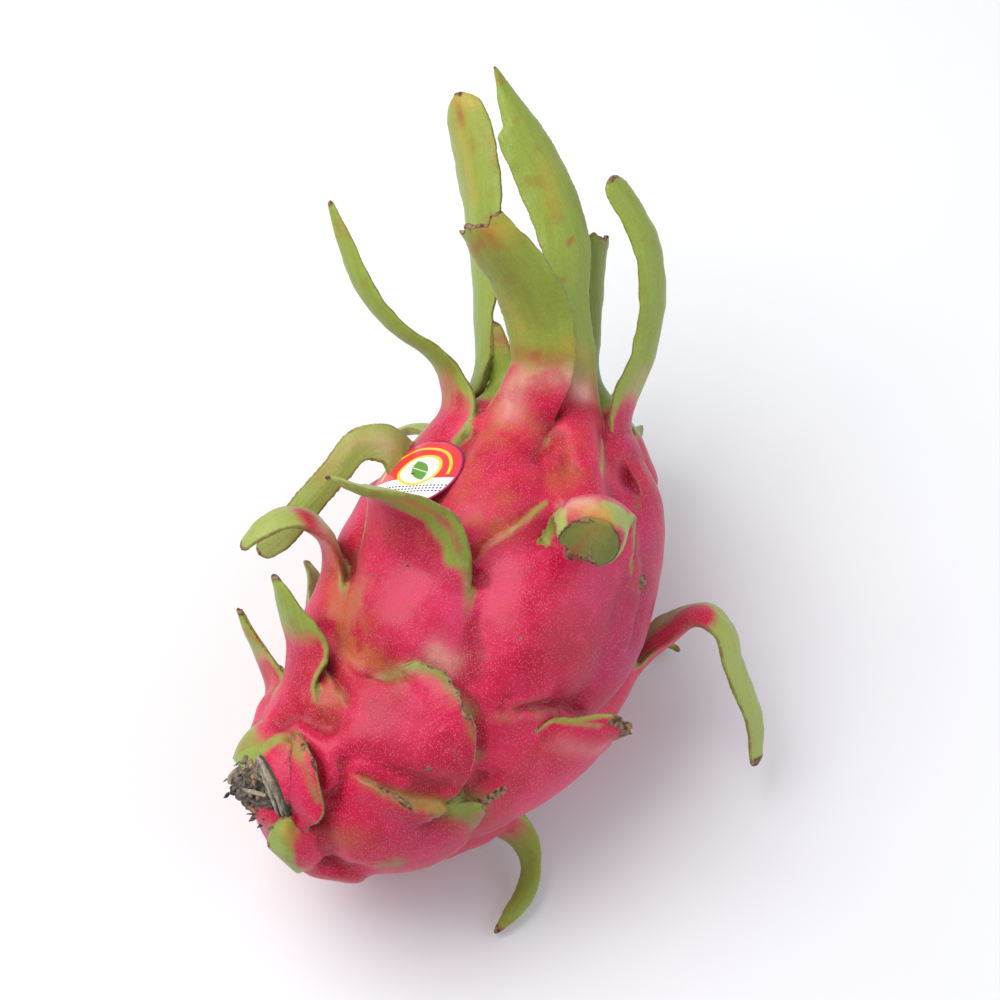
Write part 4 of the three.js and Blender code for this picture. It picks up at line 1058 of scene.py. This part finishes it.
def label_finish():
    """Printed film: a red upper field over white, a magenta rim, and a leaf in a yellow ring."""
    f = Finish("label_print")
    uv = f.node("ShaderNodeUVMap", {"uv_map": "UVMap"}).outputs[0]
    u, v, _ = f.node("ShaderNodeSeparateXYZ", Vector=uv).outputs

    def away(x, y):
        """Distance on the label from a place on it; the label's radius is 1."""
        return f.node("ShaderNodeVectorMath", {"operation": "DISTANCE"}, _0=uv,
                      _1=(0.5 + x / 2, 0.5 + y / 2, 0)).outputs["Value"]

    def inside(distance, radius, soft=0.006):
        return f.fade(distance, radius / 2 - soft, radius / 2 + soft, 1.0, 0.0)

    def over(share, colour, under):
        return f.mix(share, under, colour)

    centre = away(0, 0)
    white, red, yellow = paint(240, 238, 240), paint(226, 54, 58), paint(246, 205, 60)
    print_ = f.mix(f.fade(v, 0.41, 0.42), white, red)
    dots = f.node("ShaderNodeTexVoronoi", {"feature": "F1"}, Vector=uv, Scale=26.0, Randomness=0.0).outputs["Distance"]
    band = f.sum("MULTIPLY", f.fade(v, 0.2, 0.21), f.fade(v, 0.335, 0.345, 1.0, 0.0))
    print_ = over(f.sum("MULTIPLY", band, f.fade(dots, 0.25, 0.32, 1.0, 0.0)), paint(70, 62, 70), print_)
    arc = f.sum("MULTIPLY", inside(centre, 0.8), f.sum("SUBTRACT", 1.0, inside(centre, 0.74)))
    print_ = over(f.sum("MULTIPLY", arc, f.fade(v, 0.46, 0.47)), yellow, print_)
    badge = away(0.12, 0.1)
    print_ = over(inside(badge, 0.46), yellow, print_)
    print_ = over(inside(badge, 0.39), paint(250, 248, 240), print_)
    leaf = f.sum("MULTIPLY", inside(away(-0.1, -0.02), 0.42), inside(away(0.36, 0.2), 0.42))
    print_ = over(leaf, paint(96, 150, 52), print_)
    rib = f.sum("ABSOLUTE", f.sum("SUBTRACT", f.sum("ADD", f.sum("MULTIPLY", f.sum("SUBTRACT", u, 0.56), 0.48), v), 0.55))
    print_ = over(f.sum("MULTIPLY", leaf, f.fade(rib, 0.004, 0.009, 1.0, 0.0)), paint(230, 236, 190), print_)
    print_ = over(f.sum("SUBTRACT", 1.0, inside(centre, 0.95)), paint(222, 60, 130), print_)
    normal = f.bump(f.noise(1.1, 2.0), 0.03, f.bump(f.noise(9, 1.0), 0.12))
    return f.set(Base_Color=print_, Roughness=0.33, Normal=normal, Coat_Weight=0.25, Coat_Roughness=0.2)


# ---------------------------------------------------------------- pieces
def show(name, mesh, node, material=None):
    """A finished piece: it rides on the fruit's one body and stands for its solid."""
    mesh.name = name
    mesh.polygons.foreach_set("use_smooth", np.ones(len(mesh.polygons), bool))
    if material:
        mesh.materials.clear()
        mesh.materials.append(material)
    piece = bpy.data.objects.new(name, mesh)
    bpy.context.scene.collection.objects.link(piece)
    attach(piece, "root")
    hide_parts(node)
    return piece


def helper(name, mesh):
    made = bpy.data.objects.new(name, mesh)
    bpy.context.scene.collection.objects.link(made)
    return made


def ageing_tree(material):
    """Stores how deep the hollows of the peel lie, for the shade painted into them, pits and puckers the peel, and
    keeps it above the table.
    """
    tree, sockets, given = geometry_tree("age the peel", {
        "Blur": "Int", "Pucker size": "Float", "Pucker depth": "Float"})
    place = node_in(tree, "GeometryNodeInputPosition").outputs[0]
    normal = node_in(tree, "GeometryNodeInputNormal").outputs[0]

    def math_of(operation, a, b=0.0):
        return node_in(tree, "ShaderNodeMath", {"operation": operation}, _0=a, _1=b).outputs[0]

    def vector_of(operation, a, b, output=0):
        return node_in(tree, "ShaderNodeVectorMath", {"operation": operation}, _0=a, _1=b).outputs[output]

    # How deep each point lies in a hollow, kept for the painted shade of the skin finish.
    blurred = node_in(tree, "GeometryNodeBlurAttribute", {"data_type": "FLOAT_VECTOR"},
                      Value=place, Iterations=given["Blur"]).outputs[0]
    depth = vector_of("DOT_PRODUCT", vector_of("SUBTRACT", blurred, place), normal, 1)
    geometry = node_in(tree, "GeometryNodeStoreNamedAttribute", {"data_type": "FLOAT"},
                       Geometry=given["Geometry"], Name="hollow", Value=math_of("DIVIDE", depth, 1 * MM)).outputs[0]
    size = math_of("DIVIDE", 1.0, given["Pucker size"])
    wave = node_in(tree, "ShaderNodeTexNoise", Scale=size, Detail=3.0, Roughness=0.55, Vector=place).outputs["Fac"]
    lift = math_of("MULTIPLY", math_of("SUBTRACT", wave, 0.5), given["Pucker depth"])
    scaled = node_in(tree, "ShaderNodeVectorMath", {"operation": "SCALE"}, _0=normal, Scale=lift).outputs[0]
    moved = vector_of("ADD", place, scaled)
    above = vector_of("MAXIMUM", moved, (-10, -10, 0.0))
    geometry = node_in(tree, "GeometryNodeSetPosition", Geometry=geometry, Position=above).outputs[0]
    finish_tree(tree, geometry, material)
    return tree, sockets


def shred_tree(material):
    """Dry shreds laid over a core, each along the core's length and lifting a little."""
    tree, sockets, given = geometry_tree("lay dry shreds", {
        "Shred": "Object", "Axis": "Vector", "Density": "Float", "Seed": "Int", "Smallest": "Float",
        "Largest": "Float", "Lift": "Float"})
    spread = node_in(tree, "GeometryNodeDistributePointsOnFaces", Mesh=given["Geometry"],
                     Density=given["Density"], Seed=given["Seed"])
    upright = node_in(tree, "FunctionNodeAlignRotationToVector", {"axis": "Z"},
                      Vector=spread.outputs["Normal"]).outputs[0]
    laid = node_in(tree, "FunctionNodeAlignRotationToVector", {"axis": "X", "pivot_axis": "Z"}, Rotation=upright,
                   Vector=given["Axis"]).outputs[0]
    low = node_in(tree, "ShaderNodeVectorMath", {"operation": "SCALE"}, _0=(-1.0, -0.2, -1.0), Scale=given["Lift"])
    high = node_in(tree, "ShaderNodeVectorMath", {"operation": "SCALE"}, _0=(1.0, -1.0, 1.0), Scale=given["Lift"])
    tilt = node_in(tree, "FunctionNodeRandomValue", {"data_type": "FLOAT_VECTOR"}, _0=low.outputs[0],
                   _1=high.outputs[0], Seed=given["Seed"]).outputs[0]
    turned = node_in(tree, "FunctionNodeRotateRotation", {"rotation_space": "LOCAL"}, _0=laid,
                     _1=node_in(tree, "FunctionNodeEulerToRotation", Euler=tilt).outputs[0]).outputs[0]
    size = node_in(tree, "FunctionNodeRandomValue", {"data_type": "FLOAT"}, Seed=given["Seed"])
    tree.links.new(given["Smallest"], size.inputs[2])
    tree.links.new(given["Largest"], size.inputs[3])
    shred = node_in(tree, "GeometryNodeObjectInfo", Object=given["Shred"]).outputs["Geometry"]
    laid_out = node_in(tree, "GeometryNodeInstanceOnPoints", Points=spread.outputs["Points"], Instance=shred,
                       Rotation=turned, Scale=size.outputs[1]).outputs[0]
    joined = node_in(tree, "GeometryNodeJoinGeometry")
    tree.links.new(laid_out, joined.inputs[0])
    tree.links.new(given["Geometry"], joined.inputs[0])
    finish_tree(tree, joined.outputs[0], material)
    return tree, sockets


def make_peel():
    scales_mesh, pads_mesh = grow_peel()
    navel = Skins()
    rows = [(30, NAVEL_RADIUS), (3, NAVEL_RADIUS), (0, NAVEL_RADIUS * 0.8)]
    navel.add(turned_rings(NAVEL_FLOOR, CROWN_AXIS, rows, 40))
    helpers = [helper("pads", pads_mesh), helper("navel", navel.mesh("navel"))]
    finish = skin_finish()
    tree, sockets = fusing_tree(finish)
    fused = grown("peel", scales_mesh, tree, sockets, {
        "Pads": helpers[0], "Navel": helpers[1], "Coarse grain": 1.0 * MM,
        "Fine grain": 0.5 * MM, "Valley": VALLEY * MM})
    for made in helpers:
        bpy.data.objects.remove(made)
    holder = helper("fused", fused)
    thin = holder.modifiers.new("thin", "DECIMATE")
    thin.ratio = min(1, PEEL_TRIANGLES / (2 * len(fused.polygons)))
    graph = bpy.context.evaluated_depsgraph_get()
    thinned = bpy.data.meshes.new_from_object(holder.evaluated_get(graph), preserve_all_data_layers=True,
                                              depsgraph=graph)
    bpy.data.objects.remove(holder)
    fold_peel(thinned)
    tree, sockets = ageing_tree(finish)
    aged = grown("peel", thinned, tree, sockets, {
        "Blur": 12, "Pucker size": 5 * MM, "Pucker depth": 0.5 * MM})
    return show("peel", aged, "fruit", finish)


def lathed(origin, axis, rows, sides, unevenness):
    """A turned core whose grain runs round it and along it."""
    rings = turned_rings(origin, axis, rows, sides, unevenness)
    turn = np.linspace(0, 2 * np.pi, sides, endpoint=False)
    radius = np.array([r for _, r in rows])
    distance = np.array([d for d, _ in rows])
    fibre = np.stack(np.broadcast_arrays(turn[None] * radius[:, None], distance[:, None], 0.0), -1)
    skins = Skins()
    skins.add(rings, fibre=fibre)
    return skins


def shred(length, width, thickness, curl):
    """A curled, pointed strip lying along +X, foot at the origin."""
    steps = 7
    share = np.linspace(0, 1, steps)
    x, z = length * share, curl * share**2
    half = width / 2 * np.clip(np.sin(np.pi * (0.18 + 0.8 * share)), 0.06, 1)
    corners = ((-1, 0), (0, 0.6), (1, 0), (0, -0.4))
    rings = np.array([[(x[i], side * half[i], z[i] + up * thickness) for side, up in corners] for i in range(steps)])
    fibre = rings[..., [1, 0, 2]]
    skins = Skins()
    skins.add(rings, fibre=fibre)
    return skins.mesh("shred")


def shredded(name, core, shred_mesh, finish, values):
    helper_shred = helper("shred", shred_mesh)
    tree, sockets = shred_tree(finish)
    mesh = grown(name, core, tree, sockets, {"Shred": helper_shred, **values})
    bpy.data.objects.remove(helper_shred)
    return mesh


def stem_place(side, over, outward_by):
    """A point by the stub: across it, over it, and out from its foot along its own line."""
    u = unit(np.cross(STEM_AXIS, (0, 0, 1.0)))
    v = np.cross(STEM_AXIS, u)
    return STEM_FOOT + side * u + over * v - outward_by * STEM_AXIS


def crumble(rings, size, depth):
    """Moves the points of a skin about by a rough, torn-looking noise."""
    moved = rings.copy()
    for index in np.ndindex(rings.shape[:2]):
        at = Vector(rings[index] / size)
        shove = noise.noise_vector(at) + 0.5 * noise.noise_vector(at * 2.3) + 0.3 * noise.noise_vector(at * 5)
        moved[index] += np.array(shove) * depth
    return moved


def ribbon(skins, places, width, thickness, kind):
    """A dry strip through places by the stub, tapering at both ends."""
    rows = np.array([stem_place(*place) for place in places])
    knots = np.concatenate([[0], np.cumsum(np.linalg.norm(np.diff(rows, axis=0), axis=1))])
    line = smooth_through(knots, rows, np.linspace(0, knots[-1], 24))
    ahead = unit(np.gradient(line, axis=0))
    out = line - (STEM_FOOT + STEM_AXIS * ((line - STEM_FOOT) @ STEM_AXIS)[:, None])
    across = unit(np.cross(ahead, out))
    lift = np.cross(across, ahead)
    taper = (width / 2 * np.sin(np.linspace(0.25, np.pi - 0.15, 24)) ** 0.5)[:, None]
    turn = np.linspace(0, 2 * np.pi, 12, endpoint=False)
    rings = np.stack([line + across * taper * np.cos(t) + lift * thickness * np.sin(t) for t in turn], 1)
    fibre = np.stack(np.broadcast_arrays(width * np.cos(turn)[None], np.linspace(0, knots[-1], 24)[:, None],
                                         float(kind)), -1)
    skins.add(crumble(rings, 2.0, 0.25), fibre=fibre)


def nodule(skins, place, size, kind):
    """A rough little lump by the stub."""
    turn = np.linspace(0, np.pi, 11)
    rows = [(size * math.cos(t), size * 0.8 * max(math.sin(t), 0.05)) for t in turn]
    rings = turned_rings(stem_place(*place), unit(np.array((0.4, 0.5, 0.7))), rows, 16)
    skins.add(crumble(rings, 1.2, 0.3), fibre=np.concatenate([rings[..., :2], np.full(rings.shape[:2] + (1,), kind)], -1))


def make_stem():
    """The stub of the stem: dark green at its foot, then a torn, crumbling woody cone."""
    dark, pale, beige, green = 0.0, 1.0, 2.0, 3.0
    steps, sides = 64, 110
    out = np.concatenate([np.linspace(-4.5, -0.6, 14), np.linspace(-0.5, 8.2, steps - 14)])
    shape = np.array([(-4.5, 0.94), (-2, 1.0), (-0.2, 1.02), (0.4, 0.98), (1, 0.92), (3, 0.76), (5, 0.52), (6.6, 0.3),
                      (7.8, 0.14), (8.2, 0.03)])
    radius = STEM_RADIUS * np.interp(out, *shape.T)
    lean = -5.6 * (np.maximum(out, 0) / 8.2) ** 1.2
    turn = np.linspace(0, 2 * np.pi, sides, endpoint=False)
    rings = np.array([[stem_place(lean[i] + radius[i] * math.cos(t), radius[i] * math.sin(t), out[i]) for t in turn]
                      for i in range(steps)])
    rough = np.clip((out - 0.2) / 1.5, 0.04, 1)[:, None, None]
    rings = rings + (crumble(rings, 3.2, 1.9) - rings) * rough
    kinds = np.where(out < 0.3, green, dark)[:, None]
    fibre = np.stack(np.broadcast_arrays(turn[None] * radius[:, None], out[:, None], kinds), -1)
    skins = Skins()
    skins.add(rings, fibre=fibre)
    ribbon(skins, [(-9, -6.5, 0.2), (-4.5, -10.3, 0.6), (1, -11, 0.9), (6, -8.6, 1.0), (9.5, -4.5, 0.9)], 1.5, 0.5, pale)
    ribbon(skins, [(-3, -9.8, 1.4), (1.5, -10, 1.9), (6, -7.5, 2.0), (8.6, -3.6, 1.8)], 1.1, 0.45, pale)
    ribbon(skins, [(-9.6, -3, 1.0), (-8, -3.5, 4), (-7.4, -2.5, 7), (-6.8, -1, 8.4)], 1.6, 0.7, pale)
    ribbon(skins, [(-5, -7.5, 3), (-5.5, -5.5, 5.5), (-6.5, -3, 8)], 1.2, 0.5, dark)
    ribbon(skins, [(4, -7.5, 3), (1.5, -6.5, 5), (-2, -4.5, 7)], 1.2, 0.5, pale)
    ribbon(skins, [(7.5, -1, 2.2), (4.5, 1, 4.6), (0.5, 1.5, 6.6)], 1.3, 0.6, beige)
    for place, size in (((-6, -8, 2.4), 0.9), ((-4.4, -8.4, 2.9), 1.1), ((-3.2, -8, 3.4), 1.0), ((-1.8, -8, 3.5), 1.1),
                        ((-0.6, -7.6, 3.9), 0.9), ((-6.2, -1.4, 8.2), 0.8), ((2.6, -5.6, 4.6), 0.7),
                        ((0.8, -4.8, 5.6), 0.8)):
        nodule(skins, place, size, pale if place[2] > 8 else beige)
    finish = woody_finish("dry_stem", [(paint(70, 62, 56), paint(164, 150, 134)), (paint(128, 114, 100), paint(196, 182, 164)),
                                       (paint(112, 76, 50), paint(196, 156, 124)), (paint(48, 58, 44), paint(84, 96, 70))])
    mesh = shredded("stem_stub", skins.mesh("core"), shred(3.6, 1.6, 0.4, 0.2), finish, {
        "Axis": tuple(-STEM_AXIS), "Density": 12000.0, "Seed": 4, "Smallest": 0.4, "Largest": 1.0, "Lift": 0.2})
    return show("stem", mesh, "stem_stub", finish)


def make_flower():
    """What is left of the flower: a dark dry tuft in the navel."""
    shares = [(0.9, 0.05), (0.85, 0.35), (0.7, 0.55), (0.35, 0.75), (0.12, 0.9), (0.0, 0.8), (0, 0.1)]
    rows = [(0.35 + high * FLOWER_LENGTH, wide * FLOWER_RADIUS) for high, wide in shares]
    core = lathed(NAVEL_FLOOR, CROWN_AXIS, rows, 48, 0.04)
    finish = woody_finish("dry_flower", [(paint(52, 38, 28), paint(142, 116, 86))])
    mesh = shredded("flower", core.mesh("core"), shred(7, 1.0, 0.2, 0.6), finish, {
        "Axis": tuple(CROWN_AXIS), "Density": 90000.0, "Seed": 9, "Smallest": 0.4, "Largest": 0.8, "Lift": 0.3})
    return show("flower", mesh, "flower_scar", finish)


LABEL_ROOM = 6  # above the girth that is free over the label
LABEL_SWELL = 1.2  # the most that the skin stands up under it


def make_label(peel):
    """A round film label laid on the skin, following its swell but not its pores."""
    graph = bpy.context.evaluated_depsgraph_get()
    skin = BVHTree.FromObject(peel, graph)
    rings, rim, radius = 16, 96, LABEL_DIAMETER / 2
    share, turn = np.meshgrid(np.linspace(0.02, 1, rings), np.linspace(0, 2 * np.pi, rim, endpoint=False),
                              indexing="ij")
    u, v = share * np.cos(turn), share * np.sin(turn)
    along = LABEL_PLACE[0] + radius * u
    girth = girth_at(along.ravel()).reshape(along.shape)
    degrees = LABEL_PLACE[1] + np.degrees(radius * v / (girth + 2))
    start, inward = place_at(along, girth + LABEL_ROOM, degrees), -outward(along, degrees)
    height = np.zeros(along.shape)
    for i in np.ndindex(along.shape):
        hit = skin.ray_cast(Vector(start[i] * MM), Vector(inward[i]), 20 * MM)
        height[i] = LABEL_ROOM - hit[3] / MM if hit[0] else np.nan
    usual = np.nanmedian(height)
    height = np.clip(np.where(np.isnan(height), usual, height), usual - 0.4, usual + LABEL_SWELL)
    smooth = height.copy()
    for _ in range(14):
        wide = np.pad(smooth, ((1, 1), (0, 0)), "edge")
        around = (wide[2:] + wide[:-2] + np.roll(smooth, 1, 1) + np.roll(smooth, -1, 1)) / 4
        smooth = np.maximum(around, height)
    over = place_at(along, girth + smooth + 0.25, degrees)
    under = place_at(along, girth + smooth + 0.05, degrees)
    skins = Skins()
    shell = np.concatenate([under[::-1], over])
    skins.add(shell)
    mesh = skins.mesh("label")
    uv = mesh.uv_layers.new(name="UVMap")
    tilt = math.radians(LABEL_TURN)
    disc = np.stack([v * math.cos(tilt) + u * math.sin(tilt), u * math.cos(tilt) - v * math.sin(tilt)], -1)
    flat = np.concatenate([disc[::-1], disc]).reshape(-1, 2) / 2 + 0.5
    corner = np.empty(len(mesh.loops), np.int32)
    mesh.loops.foreach_get("vertex_index", corner)
    uv.data.foreach_set("uv", flat[corner].astype(np.float32).ravel())
    return show("label", mesh, "sticker", label_finish())


# ---------------------------------------------------------------- studio
def set_camera():
    data = bpy.data.cameras.new("camera")
    data.sensor_width = 36
    data.lens = 36 * CAMERA_DISTANCE / VIEW_WIDTH
    camera = bpy.data.objects.new("camera", data)
    stand = Matrix((VIEW_RIGHT, VIEW_UP, VIEW_BACK)).transposed().to_4x4()
    stand.translation = VIEW_EYE * MM
    camera.matrix_world = stand
    bpy.context.scene.collection.objects.link(camera)
    bpy.context.scene.camera = camera


def lamp(name, place, size, power, colour=(1, 1, 1)):
    data = bpy.data.lights.new(name, "AREA")
    data.size, data.energy, data.color = size, power, colour
    light = bpy.data.objects.new(name, data)
    light.location = place
    light.rotation_euler = (Vector((0, 0, 0.05)) - Vector(place)).to_track_quat("-Z", "Y").to_euler()
    bpy.context.scene.collection.objects.link(light)


def set_studio():
    set_camera()
    right, up, back = VIEW_RIGHT, VIEW_UP, VIEW_BACK
    lamp("key", back * 0.6 - right * 0.42 + up * 0.5, 0.75, 7.6, (1, 0.985, 0.96))
    lamp("fill", back * 0.5 + right * 0.8 + up * 0.1, 0.9, 3.4, (0.78, 0.82, 1))
    world = bpy.data.worlds.new("studio")
    world.use_nodes = True
    world.node_tree.nodes["Background"].inputs["Color"].default_value = (0.98, 0.99, 1, 1)
    world.node_tree.nodes["Background"].inputs["Strength"].default_value = 0.46
    bpy.context.scene.world = world
    bpy.context.scene.view_settings.view_transform = "Standard"
    table = bpy.data.meshes.new("table")
    table.from_pydata([(-3, -3, 0), (3, -3, 0), (3, 3, 0), (-3, 3, 0)], [], [(0, 1, 2, 3)])
    f = Finish("table")
    table.materials.append(f.set(Base_Color=f.mix(f.noise(60), paint(236, 237, 240), paint(240, 241, 244)),
                                 Roughness=0.8, Normal=f.bump(f.noise(0.8), 0.02)))
    floor = helper("table", table)


peel = make_peel()
make_stem()
make_flower()
make_label(peel)
set_studio()
